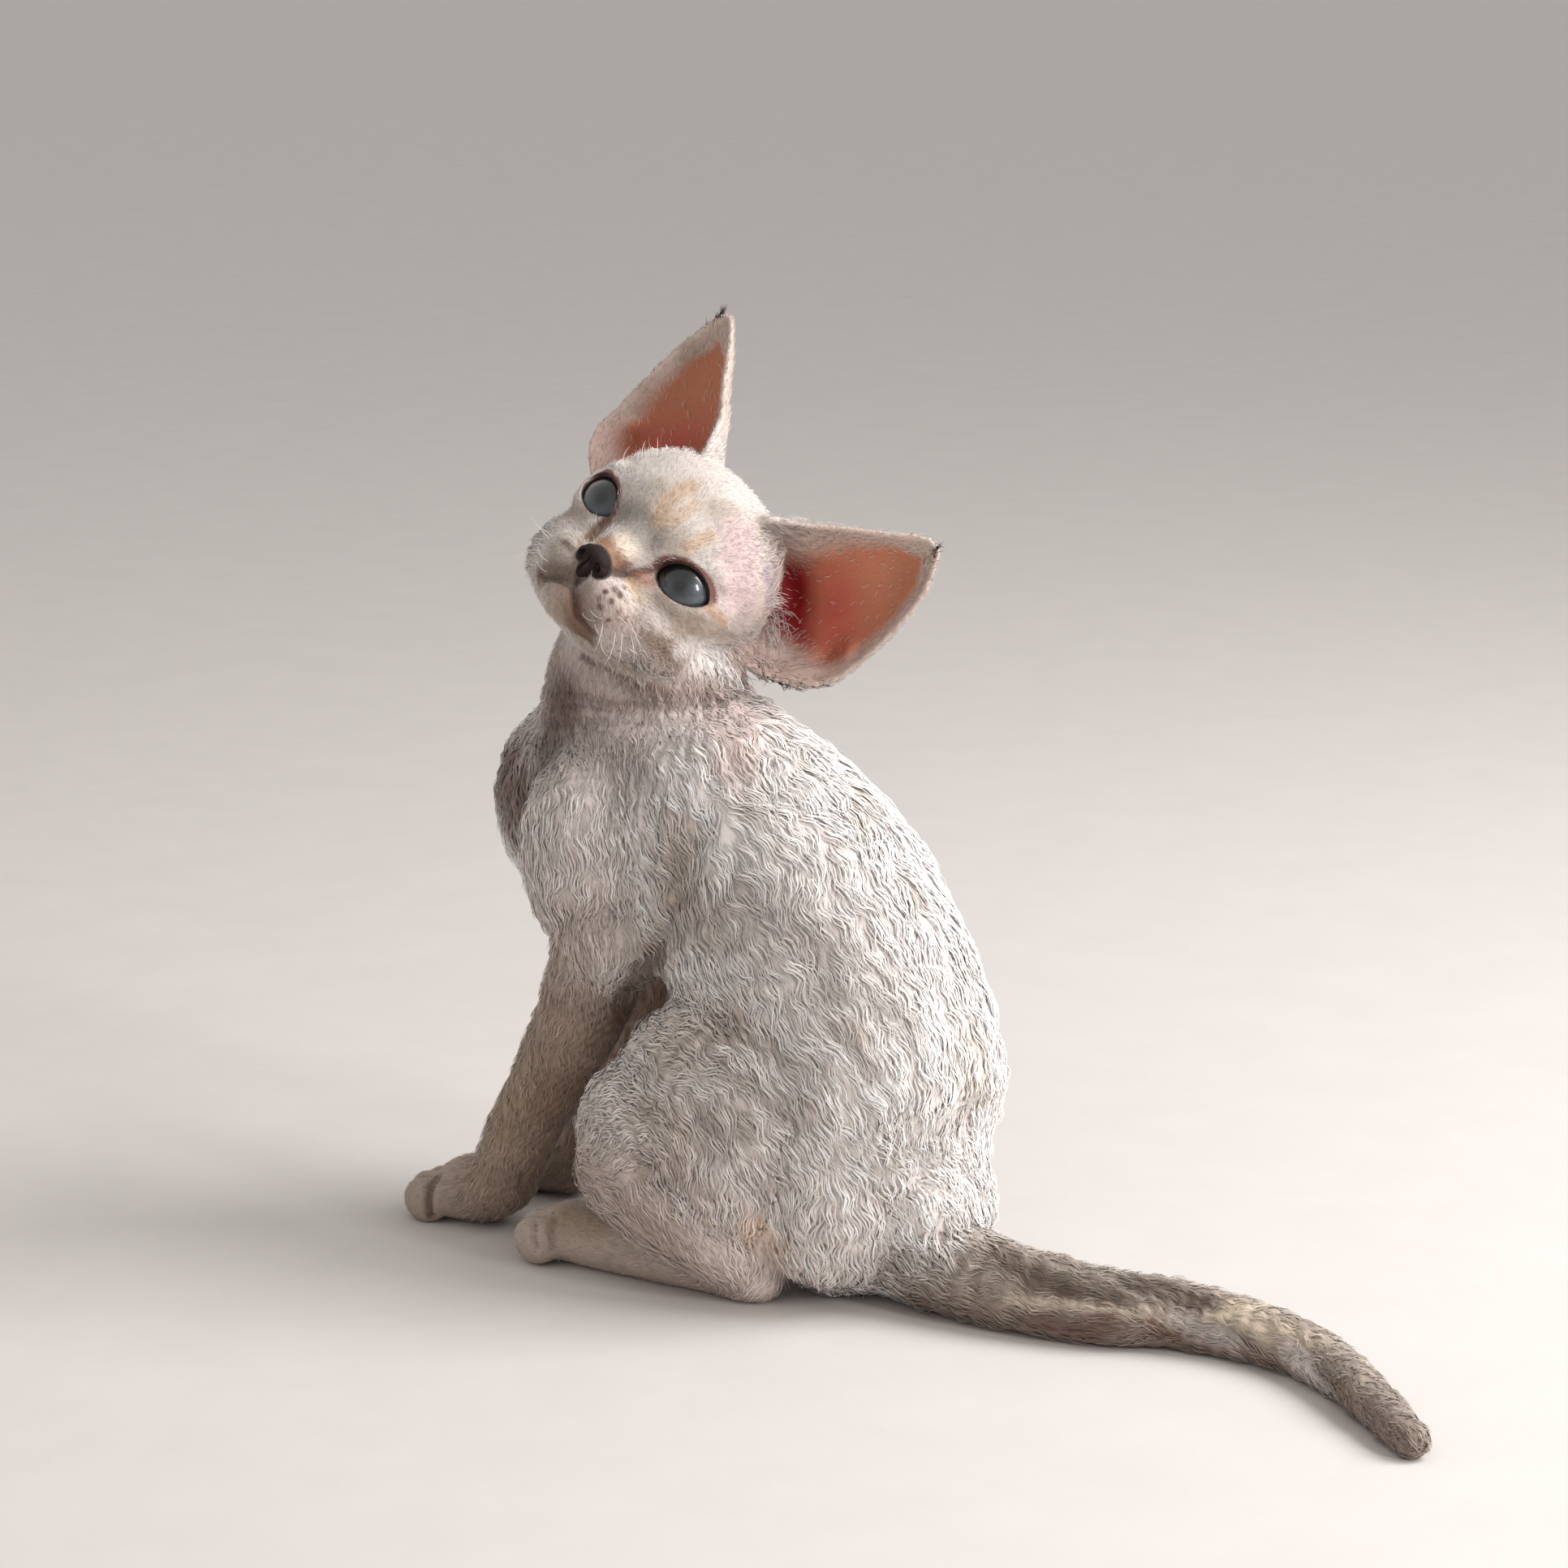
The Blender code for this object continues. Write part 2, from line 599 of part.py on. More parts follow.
def clump(root, normal, lie, sizes, tree, rng):
    """One rounded, curled clump that follows the surface, its root sunk in."""
    length, half_width, rise, half_thickness = sizes
    length *= rng.uniform(0.85, 1.15)
    half_width *= rng.uniform(0.9, 1.1)
    curl = CURL * rng.choice((-1, 1)) * rng.uniform(0.6, 1.2)
    aside = normal.cross(lie).normalized()

    def station(share, height):
        place, up, _, _ = tree.find_nearest(root + lie * length * share + aside * curl * math.sin(5 * share))
        return place + up * height, up

    bm = bmesh.new()
    first = bm.verts.new(station(0, -ROOT_DEPTH)[0])
    loops = []
    for share, size in CLUMP_RINGS:
        centre, up = station(share, rise * math.sin(math.pi * min(share + 0.1, 0.6)))
        across = up.cross(lie).normalized()
        loop = []
        for k in range(CLUMP_SIDES):
            a = math.tau * (k + 0.25) / CLUMP_SIDES
            offset = across * half_width * size * math.cos(a) + up * half_thickness * size * math.sin(a)
            loop.append(bm.verts.new(centre + offset))
        loops.append(loop)
    last = bm.verts.new(station(1, rise * 0.7)[0])
    for k in range(CLUMP_SIDES):
        after = (k + 1) % CLUMP_SIDES
        bm.faces.new((first, loops[0][after], loops[0][k]))
        for one, two in zip(loops, loops[1:]):
            bm.faces.new((one[k], one[after], two[after], two[k]))
        bm.faces.new((last, loops[-1][k], loops[-1][after]))
    bmesh.ops.recalc_face_normals(bm, faces=bm.faces)
    return object_from("clump", bm)


def inside(cell, point):
    """Whether the point lies inside the closed, convex cell."""
    return all((point - face.center).dot(face.normal) < 0 for face in cell.data.polygons)


def clumps_on(kind, points, tree, rng):
    """The clumps rooted at these points, without those that would reach the floor."""
    way = TAIL_LIE if kind == "tail" else COAT_LIE
    made = []
    for point, normal in points:
        lie = (way - normal * way.dot(normal)).normalized()
        piece = clump(point, normal, lie, COAT[kind], tree, rng)
        if min(vert.co.z for vert in piece.data.vertices) > CUT_GAP:
            made.append(piece)
        else:
            remove(piece)
    return made


def with_clumps(node, clumps):
    """The node with its clumps fused on by one Boolean union."""
    if not clumps:
        return node
    group = bpy.data.collections.new("clumps")
    bpy.context.scene.collection.children.link(group)
    for piece in clumps:
        bpy.context.scene.collection.objects.unlink(piece)
        group.objects.link(piece)
    union = node.modifiers.new("coat", "BOOLEAN")
    union.operation = "UNION"
    union.solver = COAT_SOLVER
    union.operand_type = "COLLECTION"
    union.collection = group
    evaluated(node)
    remove(*clumps)
    bpy.data.collections.remove(group)
    return node


def parted(fine, plain):
    """The named nodes, each cut by its own cell and clear of the cells taken before it."""
    makers = cell_makers()
    rng = random.Random(COAT_SEED)
    tree = BVHTree.FromObject(plain, bpy.context.evaluated_depsgraph_get())
    points = spread_points(plain, CLUMP_SPACING, rng)
    nodes = {}
    for i, (name, maker) in enumerate([*makers, ("torso", None)]):
        kind = name.split("_")[0]
        node = copied(fine if kind in DETAILED else plain, name)
        own = points
        if maker:
            cell = maker(0)
            own = [pair for pair in points if inside(cell, pair[0])]
            remove(cell)
        points = [pair for pair in points if pair not in own]
        if kind in COAT:
            with_clumps(node, clumps_on(kind, own, tree, rng))
        if maker:
            combined(node, maker(0), "INTERSECT", COAT_SOLVER)
        for earlier, other in makers[:i]:
            combined(node, other(CUT_GAP), "DIFFERENCE", COAT_SOLVER)
        nodes[name] = largest_only(node)
    remove(fine, plain)
    return nodes


def add_eyes(flesh):
    """Cuts the sockets and the lid openings, and sets an eye in each."""
    eyes = {}
    for side, name in ((1, "eye_left"), (-1, "eye_right")):
        centre = (side * EYE_CENTRE[0], *EYE_CENTRE[1:])
        socket = ball("socket", centre, (EYE_RADIUS + CUT_GAP,) * 3, detail=3)
        socket.data.transform(head_matrix())
        combined(flesh, socket, "DIFFERENCE")
        combined(flesh, almond(side), "DIFFERENCE")
        eyes[name] = ball(name, centre, (EYE_RADIUS,) * 3, detail=3)
        eyes[name].data.transform(head_matrix())
    return eyes


def add_mouth(flesh):
    """Presses the line of the mouth into the muzzle, with the cleft up to the nose."""
    tree = BVHTree.FromObject(flesh, bpy.context.evaluated_depsgraph_get())
    for points in (MOUTH_POINTS, CLEFT_POINTS):
        rings = []
        for point in smooth_path(points, 4):
            place = tree.find_nearest(head_matrix() @ Vector(point))[0]
            rings.append((*place, MOUTH_RADIUS, MOUTH_RADIUS))
        combined(flesh, loft("mouth_line", rings, sides=8, steps=1), "DIFFERENCE")


def add_nostrils(nose):
    for side in (1, -1):
        hole = ball("nostril", (side * NOSTRIL[0][0], *NOSTRIL[0][1:]), NOSTRIL[1], detail=2)
        hole.data.transform(head_matrix())
        combined(nose, hole, "DIFFERENCE")


def add_ears(head):
    """Both ears, trimmed where they meet the head."""
    grown = copied(head, "grown_head")
    swell = grown.modifiers.new("clearance", "DISPLACE")
    swell.mid_level = 0
    swell.strength = CUT_GAP
    evaluated(grown)
    ears = {}
    for side, name in ((1, "ear_left"), (-1, "ear_right")):
        ears[name] = combined(ear(name, side), copied(grown, "trim"), "DIFFERENCE")
        largest_only(ears[name])
    remove(grown)
    return ears


def settle(nodes):
    """Moves every node so that the middle of the model's underside is the origin."""
    corners = [obj.matrix_world @ Vector(corner) for obj in nodes.values() for corner in obj.bound_box]
    low = Vector([min(corner[k] for corner in corners) for k in range(3)])
    high = Vector([max(corner[k] for corner in corners) for k in range(3)])
    for obj in nodes.values():
        obj.location = (-(low.x + high.x) / 2, -(low.y + high.y) / 2, -low.z)
    bpy.context.view_layer.update()


def build():
    remove(*list(bpy.data.objects))
    plain = whole_flesh()
    fine = set_down(simplified(copied(plain, "fine"), FINE_TRIANGLES))
    set_down(simplified(plain, PLAIN_TRIANGLES))
    nodes = add_eyes(fine)
    add_mouth(fine)
    nodes.update(parted(fine, plain))
    add_nostrils(nodes["nose"])
    nodes.update(add_ears(nodes["head"]))
    settle(nodes)
    for name, obj in nodes.items():
        colour = NODE_COLOURS[name.split("_")[0]]
        painted(obj, name, colour, 0.15 if name.startswith("eye") else 0.8)
        smooth_shaded(obj)


build()
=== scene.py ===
"""The looks of a still, life-size Devon Rex kitten: one skin, a curly coat, eyes, whiskers, floor, light and camera.

Metres, in the frame of the solids. The kitten faces -Y and +X is its left. Shapes are laid out in the
design frame, whose origin is on the floor between the forelegs and the rump, and are then moved by one shift.
"""

import math
import random

import bmesh
import bpy
import numpy as np
from mathutils import Euler, Matrix, Vector, kdtree, noise
from mathutils.bvhtree import BVHTree


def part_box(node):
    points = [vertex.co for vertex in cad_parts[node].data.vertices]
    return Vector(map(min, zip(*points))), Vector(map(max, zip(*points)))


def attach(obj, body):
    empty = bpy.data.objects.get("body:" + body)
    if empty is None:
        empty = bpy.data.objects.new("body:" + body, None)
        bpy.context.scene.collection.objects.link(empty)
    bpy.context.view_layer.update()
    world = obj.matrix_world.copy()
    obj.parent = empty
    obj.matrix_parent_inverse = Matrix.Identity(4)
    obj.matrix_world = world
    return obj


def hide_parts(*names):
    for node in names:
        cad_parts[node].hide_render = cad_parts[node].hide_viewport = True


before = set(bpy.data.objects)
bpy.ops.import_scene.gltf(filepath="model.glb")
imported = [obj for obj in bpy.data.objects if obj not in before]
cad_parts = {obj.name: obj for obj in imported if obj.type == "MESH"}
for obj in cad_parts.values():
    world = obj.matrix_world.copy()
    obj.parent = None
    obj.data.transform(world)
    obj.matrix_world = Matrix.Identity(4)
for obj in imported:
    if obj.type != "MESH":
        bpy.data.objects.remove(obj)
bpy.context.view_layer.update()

# Flesh, as in the solids: rings are x, y, z, half width, half depth, and balls are centre and radii

CAP_ANGLES = (72, 48, 24)
TORSO_RINGS = (
    (0, 0.059, 0.025, 0.018, 0.0155),
    (0, 0.050, 0.036, 0.030, 0.026),
    (0, 0.042, 0.053, 0.033, 0.032),
    (0, 0.032, 0.072, 0.033, 0.034),
    (0, 0.017, 0.091, 0.032, 0.035),
    (0, -0.003, 0.105, 0.029, 0.034),
    (0, -0.022, 0.113, 0.026, 0.031),
    (0, -0.038, 0.114, 0.021, 0.026),
)
BREAST_BALL = ((0, -0.0465, 0.109), (0.020, 0.0205, 0.026))
NECK_RINGS = (
    (0, -0.018, 0.112, 0.024, 0.031),
    (0, -0.025, 0.130, 0.0225, 0.0290),
    (-0.002, -0.026, 0.144, 0.021, 0.0255),
    (-0.004, -0.024, 0.156, 0.019, 0.019),
)
PELVIS_BALL = ((0, 0.038, 0.027), (0.031, 0.026, 0.028))

# Left legs. The right ones mirror them.
THIGH_BALLS = (
    ((0.0255, 0.016, 0.042), (0.0155, 0.031, 0.031)),
    ((0.0315, -0.005, 0.037), (0.0110, 0.015, 0.017)),
    ((0.0170, 0.042, 0.033), (0.0170, 0.019, 0.028)),
)
SHANK_RINGS = (
    (0.033, -0.009, 0.028, 0.0100, 0.0110),
    (0.033, 0.008, 0.020, 0.0105, 0.0110),
    (0.027, 0.024, 0.0115, 0.0085, 0.0090),
)
HIND_FOOT_RINGS = (
    (0.0245, 0.0270, 0.0072, 0.0068, 0.0078),
    (0.0255, 0.0100, 0.0072, 0.0068, 0.0074),
    (0.0265, -0.014, 0.0070, 0.0078, 0.0074),
    (0.0255, -0.030, 0.0070, 0.0096, 0.0074),
)
HIND_TOE_ROW = (0.0255, -0.0375, 0.0058)
UPPER_ARM_BALLS = (
    ((0.0210, -0.027, 0.102), (0.0125, 0.018, 0.026)),
    ((0.0220, -0.018, 0.081), (0.0105, 0.0125, 0.014)),
)
FORELEG_RINGS = (
    (0.0210, -0.021, 0.0870, 0.0105, 0.0130),
    (0.0200, -0.028, 0.0660, 0.0098, 0.0115),
    (0.0180, -0.041, 0.0440, 0.0086, 0.0096),
    (0.0165, -0.054, 0.0240, 0.0080, 0.0086),
    (0.0160, -0.061, 0.0110, 0.0092, 0.0084),
    (0.0155, -0.0715, 0.0078, 0.0110, 0.0082),
)
FORE_TOE_ROW = (0.0155, -0.0825, 0.0052)
TOE_RADII = (0.0040, 0.0070, 0.0060)
TOE_SPACING = 0.0058
TOE_SETBACK = 0.0026
TOE_SPLAY = 0.1
TAIL_RINGS = (
    (0.000, 0.040, 0.0190, 0.0125, 0.0130),
    (0.002, 0.058, 0.0130, 0.0115, 0.0125),
    (0.003, 0.080, 0.0095, 0.0100, 0.0105),
    (0.000, 0.105, 0.0082, 0.0086, 0.0090),
    (-0.010, 0.130, 0.0068, 0.0074, 0.0076),
    (-0.008, 0.160, 0.0054, 0.0060, 0.0062),
    (0.010, 0.187, 0.0044, 0.0050, 0.0052),
    (0.023, 0.203, 0.0034, 0.0040, 0.0042),
)

# Head, in its own frame: x to its left, y to the back, z up, from the midpoint between the corneas
HEAD_PLACE = (0.0139, -0.0163, 0.1785)
HEAD_TURN = math.radians(108.3)
HEAD_LIFT = math.radians(31.6)
HEAD_TILT = math.radians(41.2)
HEAD_BALLS = (
    ("cranium", (0, 0.0190, 0.0070), (0.0270, 0.0230, 0.0215)),
    ("temples", (0, 0.0110, 0.0010), (0.0275, 0.0120, 0.0150)),
    ("forehead", (0, 0.0080, 0.0100), (0.0200, 0.0105, 0.0165)),
    ("jaw", (0, 0.0100, -0.0180), (0.0190, 0.0165, 0.0100)),
    ("chin", (0, -0.0005, -0.0225), (0.0078, 0.0075, 0.0056)),
    ("nose_tip", (0, -0.0070, -0.0115), (0.0046, 0.0040, 0.0042)),
)
PAIRED_HEAD_BALLS = (
    ("cheek", (0.0122, 0.0150, -0.0130), (0.0130, 0.0155, 0.0142)),
    ("pad", (0.0066, -0.0005, -0.0158), (0.0084, 0.0085, 0.0068)),
    ("inner_cheek", (0.0075, 0.0045, -0.0065), (0.0075, 0.0065, 0.0080)),
    ("brow", (0.0145, 0.0065, 0.0075), (0.0095, 0.0060, 0.0045)),
    ("lid", (0.0149, 0.0085, 0.0000), (0.0100, 0.0100, 0.0098)),
)
NOSE_BRIDGE_RINGS = (
    (0, 0.0060, 0.0060, 0.0080, 0.0070),
    (0, -0.0005, -0.0020, 0.0062, 0.0052),
    (0, -0.0050, -0.0095, 0.0050, 0.0042),
)
EYE_CENTRE = (0.0149, 0.0085, 0)
EYE_RADIUS = 0.0086
EYE_OPENING = (0.0076, 0.0052, 0.0044)
EYE_CORNERS = (0.45, 0.12)
EYE_SLANT = math.radians(14)
EYE_OUTWARD = math.radians(14)
ALMOND_SIDES = 48
ALMOND_FRONT = -0.016
ALMOND_FLARE = (1.15, 0.9)
MOUTH_POINTS = ((-0.0112, 0.0005, -0.0232), (-0.0078, -0.0030, -0.0237), (-0.0050, -0.0060, -0.0221),
                (-0.0024, -0.0075, -0.0202), (0, -0.0080, -0.0190),
                (0.0024, -0.0075, -0.0202), (0.0050, -0.0060, -0.0221), (0.0078, -0.0030, -0.0237),
                (0.0112, 0.0005, -0.0232))
CLEFT_POINTS = ((0, -0.0105, -0.0150), (0, -0.0090, -0.0170), (0, -0.0080, -0.0190))
MUZZLE_BEND = (0.0017, -0.0015, 0.0085)

# Ears, in the head's frame as on its left: the inner and outer edge of each from root to tip, left 1, right -1
EAR_INNER_EDGES = {
    1: ((0.010, 0.014, 0.018), (0.0128, 0.0115, 0.0252), (0.0210, 0.0138, 0.0322), (0.0275, 0.015, 0.0383),
        (0.0355, 0.017, 0.0453), (0.0422, 0.0182, 0.0516)),
    -1: ((0.010, 0.014, 0.018), (0.0112, 0.0110, 0.0268), (0.0184, 0.0135, 0.0346), (0.0256, 0.015, 0.0405),
         (0.0335, 0.017, 0.0478), (0.0408, 0.0182, 0.0543)),
}
EAR_OUTER_EDGES = {
    1: ((0.021, 0.031, -0.001), (0.0335, 0.033, 0.002), (0.0445, 0.032, 0.010), (0.0488, 0.029, 0.0225),
        (0.0494, 0.0238, 0.0397), (0.0456, 0.0187, 0.0512)),
    -1: ((0.021, 0.031, -0.001), (0.0345, 0.033, 0.001), (0.0474, 0.031, 0.009), (0.0486, 0.029, 0.022),
         (0.0468, 0.024, 0.0375), (0.0430, 0.0187, 0.0530)),
}
EAR_DEPTHS = (0.010, 0.014, 0.012, 0.0095, 0.0062, 0.0003)
EAR_BENDS = (90, 92, 82, 72, 62, 50)
EAR_WALL = 0.0014
EAR_COLUMNS = 64
EAR_STEPS = 12

# How finely and softly pieces are fused: voxel size, rounds of smoothing
TRUNK_SKIN = (0.0010, 62)
LIMB_SKIN = (0.0008, 10)
HEAD_SKIN = (0.0005, 26)
WHOLE_SKIN = (0.00085, 3)

# Camera: the photo's view, as the turn and height of its axis, and its distance
VIEW_TURN = math.radians(37)
VIEW_HEIGHT = math.radians(12)
VIEW_DISTANCE = 1.1
VIEW_CENTRE = (0.0132, 0.1158)
VIEW_HALF_WIDTH = 0.1932
SENSOR = 36.0


def head_matrix():
    """Places the head's own frame on the body."""
    turned = Matrix.Rotation(HEAD_TURN, 4, "Z")
    lifted = Matrix.Rotation(-HEAD_LIFT, 4, "X")
    tilted = Matrix.Rotation(HEAD_TILT, 4, "Y")
    return Matrix.Translation(HEAD_PLACE) @ turned @ lifted @ tilted


def design_shift():
    """The way from the design frame to the frame of the solids, read from where the left eye is."""
    low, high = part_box("eye_left")
    return (low + high) / 2 - head_matrix() @ Vector(EYE_CENTRE)


SHIFT = design_shift()
HEAD = np.array(head_matrix())


def placed(points):
    """Points of the head's frame, in the design frame."""
    return np.asarray(points) @ HEAD[:3, :3].T + HEAD[:3, 3]


def in_head(points):
    """Points of the design frame, in the head's frame."""
    return (np.asarray(points) - HEAD[:3, 3]) @ HEAD[:3, :3]


def view_axes():
    """Right, up and backward axis of the camera."""
    right = Vector((-math.sin(VIEW_TURN), math.cos(VIEW_TURN), 0))
    flat = math.cos(VIEW_HEIGHT)
    back = Vector((math.cos(VIEW_TURN) * flat, math.sin(VIEW_TURN) * flat, math.sin(VIEW_HEIGHT)))
    return right, back.cross(right), back


def view_target():
    right, up, back = view_axes()
    return right * VIEW_CENTRE[0] + up * VIEW_CENTRE[1]


# Tools for meshes and arrays

TINY = 1e-9


def object_from(name, bm):
    """A named object in the scene that holds this mesh, which is freed."""
    mesh = bpy.data.meshes.new(name)
    bm.to_mesh(mesh)
    bm.free()
    obj = bpy.data.objects.new(name, mesh)
    bpy.context.scene.collection.objects.link(obj)
    return obj


def remove(*objects):
    for obj in objects:
        bpy.data.objects.remove(obj)


def smoothed(obj):
    """The object with smooth shading."""
    for face in obj.data.polygons:
        face.use_smooth = True
    return obj


def read_all(items, name, width, kind=float):
    """A property of all of a mesh's items, as an array with a row for each."""
    rows = np.zeros((len(items), width), kind)
    items.foreach_get(name, rows.ravel())
    return rows


def store_tint(mesh, colours):
    """Stores a linear colour at each vertex."""
    rows = np.concatenate([colours, np.ones((len(colours), 1))], axis=1)
    layer = mesh.color_attributes.new("tint", "FLOAT_COLOR", "POINT")
    layer.data.foreach_set("color", rows.astype(np.float32).ravel())


def unit(rows):
    """The vectors along an array's last axis, at length 1."""
    return rows / (np.linalg.norm(rows, axis=-1, keepdims=True) + TINY)


def soft_noise(points, size, seed=0.0):
    """Smooth noise from about -1 to 1."""
    shift = Vector((seed, seed * 1.7, seed * 0.6))
    return np.array([noise.noise(Vector(point) / size + shift) for point in points])


def line_gap(points, line):
    """Distance of each point from a line of points."""
    gaps = np.full(len(points), np.inf)
    for place in line:
        gaps = np.minimum(gaps, np.linalg.norm(points - place, axis=1))
    return gaps


def smooth_path(rows, steps):
    """Rows of numbers along a Catmull-Rom curve through the given rows, its ends included."""
    rows = [Vector(row) for row in rows]
    ends = [rows[0] * 2 - rows[1], *rows, rows[-1] * 2 - rows[-2]]
    path = []
    for a, b, c, d in zip(ends, ends[1:], ends[2:], ends[3:]):
        for step in range(steps):
            t = step / steps
            bend = (2 * a - 5 * b + 4 * c - d) * t**2 + (3 * b - a - 3 * c + d) * t**3
            path.append(0.5 * (2 * b + (c - a) * t + bend))
    return [*path, rows[-1]]


def tube_stations(path):
    """Centre, half sizes and size share of each ring of a tube, with rounded ends."""
    centres = [Vector(row[:3]) for row in path]
    angles = [math.radians(a) for a in CAP_ANGLES]
    first_way = (centres[0] - centres[1]).normalized() * min(path[0][3:])
    last_way = (centres[-1] - centres[-2]).normalized() * min(path[-1][3:])
    first = [(centres[0] + first_way * math.sin(a), path[0][3:], math.cos(a)) for a in angles]
    last = [(centres[-1] + last_way * math.sin(a), path[-1][3:], math.cos(a)) for a in reversed(angles)]
    return first + [(centre, row[3:], 1) for centre, row in zip(centres, path)] + last


def loft(name, rings, sides=36, steps=6):
    """A closed tube through rings of x, y, z, half width and half depth, rounded off at both ends."""
    stations = tube_stations(smooth_path(rings, steps))
    bm = bmesh.new()
    loops = []
    for i, (centre, (half_width, half_depth), share) in enumerate(stations):
        along = (stations[min(i + 1, len(stations) - 1)][0] - stations[max(i - 1, 0)][0]).normalized()
        across = (Vector((1, 0, 0)) - along * along.x).normalized()
        deep = along.cross(across)
        loop = []
        for k in range(sides):
            a = math.tau * k / sides
            wide = across * half_width * math.cos(a)
            loop.append(bm.verts.new(centre + share * (wide + deep * half_depth * math.sin(a))))
        loops.append(loop)
    for one, two in zip(loops, loops[1:]):
        for k in range(sides):
            bm.faces.new((one[k], one[(k + 1) % sides], two[(k + 1) % sides], two[k]))
    bm.faces.new(reversed(loops[0]))
    bm.faces.new(loops[-1])
    bmesh.ops.recalc_face_normals(bm, faces=bm.faces)
    return object_from(name, bm)


def ball(name, centre, radii, turn=(0, 0, 0), detail=4):
    """A closed ball, stretched to three radii and turned."""
    bm = bmesh.new()
    bmesh.ops.create_icosphere(bm, subdivisions=detail, radius=1)
    bm.transform(Matrix.Translation(centre) @ Euler(turn).to_matrix().to_4x4() @ Matrix.Diagonal((*radii, 1)))
    return object_from(name, bm)


def on_side(rows, side):
    """The rows as they are on the left, side 1, or mirrored on the right, side -1."""
    return [(side * row[0], *row[1:]) for row in rows]


def evaluated(obj):
    """The object with its modifiers applied."""
    graph = bpy.context.evaluated_depsgraph_get()
    mesh = bpy.data.meshes.new_from_object(obj.evaluated_get(graph))
    obj.modifiers.clear()
    obj.data = mesh
    return obj


def joined(name, pieces):
    """One object that holds the meshes of all these pieces, which it replaces."""
    bm = bmesh.new()
    for piece in pieces:
        bm.from_mesh(piece.data)
    remove(*pieces)
    return object_from(name, bm)


def fused(name, pieces, voxel, rounds):
    """One skin over overlapping pieces: a voxel remesh, then rounds of smoothing."""
    obj = joined(name, pieces)
    remesh = obj.modifiers.new("one skin", "REMESH")
    remesh.mode = "VOXEL"
    remesh.voxel_size = voxel
    smooth = obj.modifiers.new("soft joins", "SMOOTH")
    smooth.factor = 0.5
    smooth.iterations = rounds
    return evaluated(obj)


def combined(obj, others, operation):
    """The object after one Boolean with all the others, which are removed."""
    group = bpy.data.collections.new("others")
    bpy.context.scene.collection.children.link(group)
    for other in others:
        bpy.context.scene.collection.objects.unlink(other)
        group.objects.link(other)
    boolean = obj.modifiers.new("cut", "BOOLEAN")
    boolean.operation = operation
    boolean.solver = "MANIFOLD"
    boolean.operand_type = "COLLECTION"
    boolean.collection = group
    evaluated(obj)
    remove(*others)
    bpy.data.collections.remove(group)
    return obj


# Flesh

def toes(row, side):
    """Four toes side by side, the middle two ahead."""
    made = []
    for k in range(4):
        off = k - 1.5
        place = (side * (row[0] + off * TOE_SPACING), row[1] + abs(off) * TOE_SETBACK, row[2])
        made.append(ball("toe", place, TOE_RADII, (0, 0, -side * off * TOE_SPLAY)))
    return made


def trunk_pieces():
    """Trunk, neck, thighs and upper forelegs, which join softly."""
    made = [loft("trunk", TORSO_RINGS), loft("nape", NECK_RINGS), ball("pelvis", *PELVIS_BALL),
            ball("breast", *BREAST_BALL)]
    for side in (1, -1):
        for centre, radii in (*THIGH_BALLS, *UPPER_ARM_BALLS):
            made.append(ball("muscle", (side * centre[0], *centre[1:]), radii))
        made.append(loft("shank", on_side(SHANK_RINGS, side)))
    return made


def limb_pieces():
    """Forelegs, feet with their toes, and tail."""
    made = [loft("tail_flesh", TAIL_RINGS)]
    for side in (1, -1):
        made.append(loft("hind_foot_flesh", on_side(HIND_FOOT_RINGS, side)))
        made.append(loft("foreleg_flesh", on_side(FORELEG_RINGS, side)))
        made += toes(HIND_TOE_ROW, side)
        made += toes(FORE_TOE_ROW, side)
    return made


def head_pieces():
    """The overlapping shapes of the head, placed on the body."""
    made = [loft("nose_bridge", NOSE_BRIDGE_RINGS)]
    for name, centre, radii in HEAD_BALLS:
        made.append(ball(name, centre, radii))
    for name, centre, radii in PAIRED_HEAD_BALLS:
        for side in (1, -1):
            made.append(ball(name, (side * centre[0], *centre[1:]), radii))
    for piece in made:
        for vert in piece.data.vertices:
            vert.co = bent(vert.co)
        piece.data.transform(head_matrix())
    return made


def bent(point):
    """A point of the head's frame, moved with the muzzle, which is turned a little to the kitten's left."""
    most, start, reach = MUZZLE_BEND
    share = min(max((start - point[1]) / reach, 0), 1)
    return Vector((point[0] + most * share * share * (3 - 2 * share), point[1], point[2]))


def bump_at(s, t, centre, sizes):
    """A soft bump of height 1 on an ear's leaf, at a place across and along it."""
    return math.exp(-((s - centre[0]) / sizes[0]) ** 2 - ((t - centre[1]) / sizes[1]) ** 2)


# Relief of the ear's leaf, towards its back: place across (-1 inner edge, 1 outer edge) and along it, sizes, rise
EAR_RELIEF = (
    ("canal_wall", (0.05, 0.20), (0.28, 0.10), 0.0022),
    ("front_base", (-0.72, 0.20), (0.32, 0.16), -0.0042),
    ("lower_flap", (0.72, 0.22), (0.20, 0.16), -0.0020),
    ("inner_ridge", (-0.42, 0.30), (0.09, 0.20), -0.0011),
    ("middle_ridge", (0.22, 0.34), (0.08, 0.16), -0.0010),
    ("pocket", (0.56, 0.41), (0.09, 0.05), 0.0024),
    ("pocket_lip", (0.60, 0.51), (0.12, 0.035), -0.0020),
    ("small_hollow", (0.76, 0.56), (0.07, 0.03), 0.0016),
)


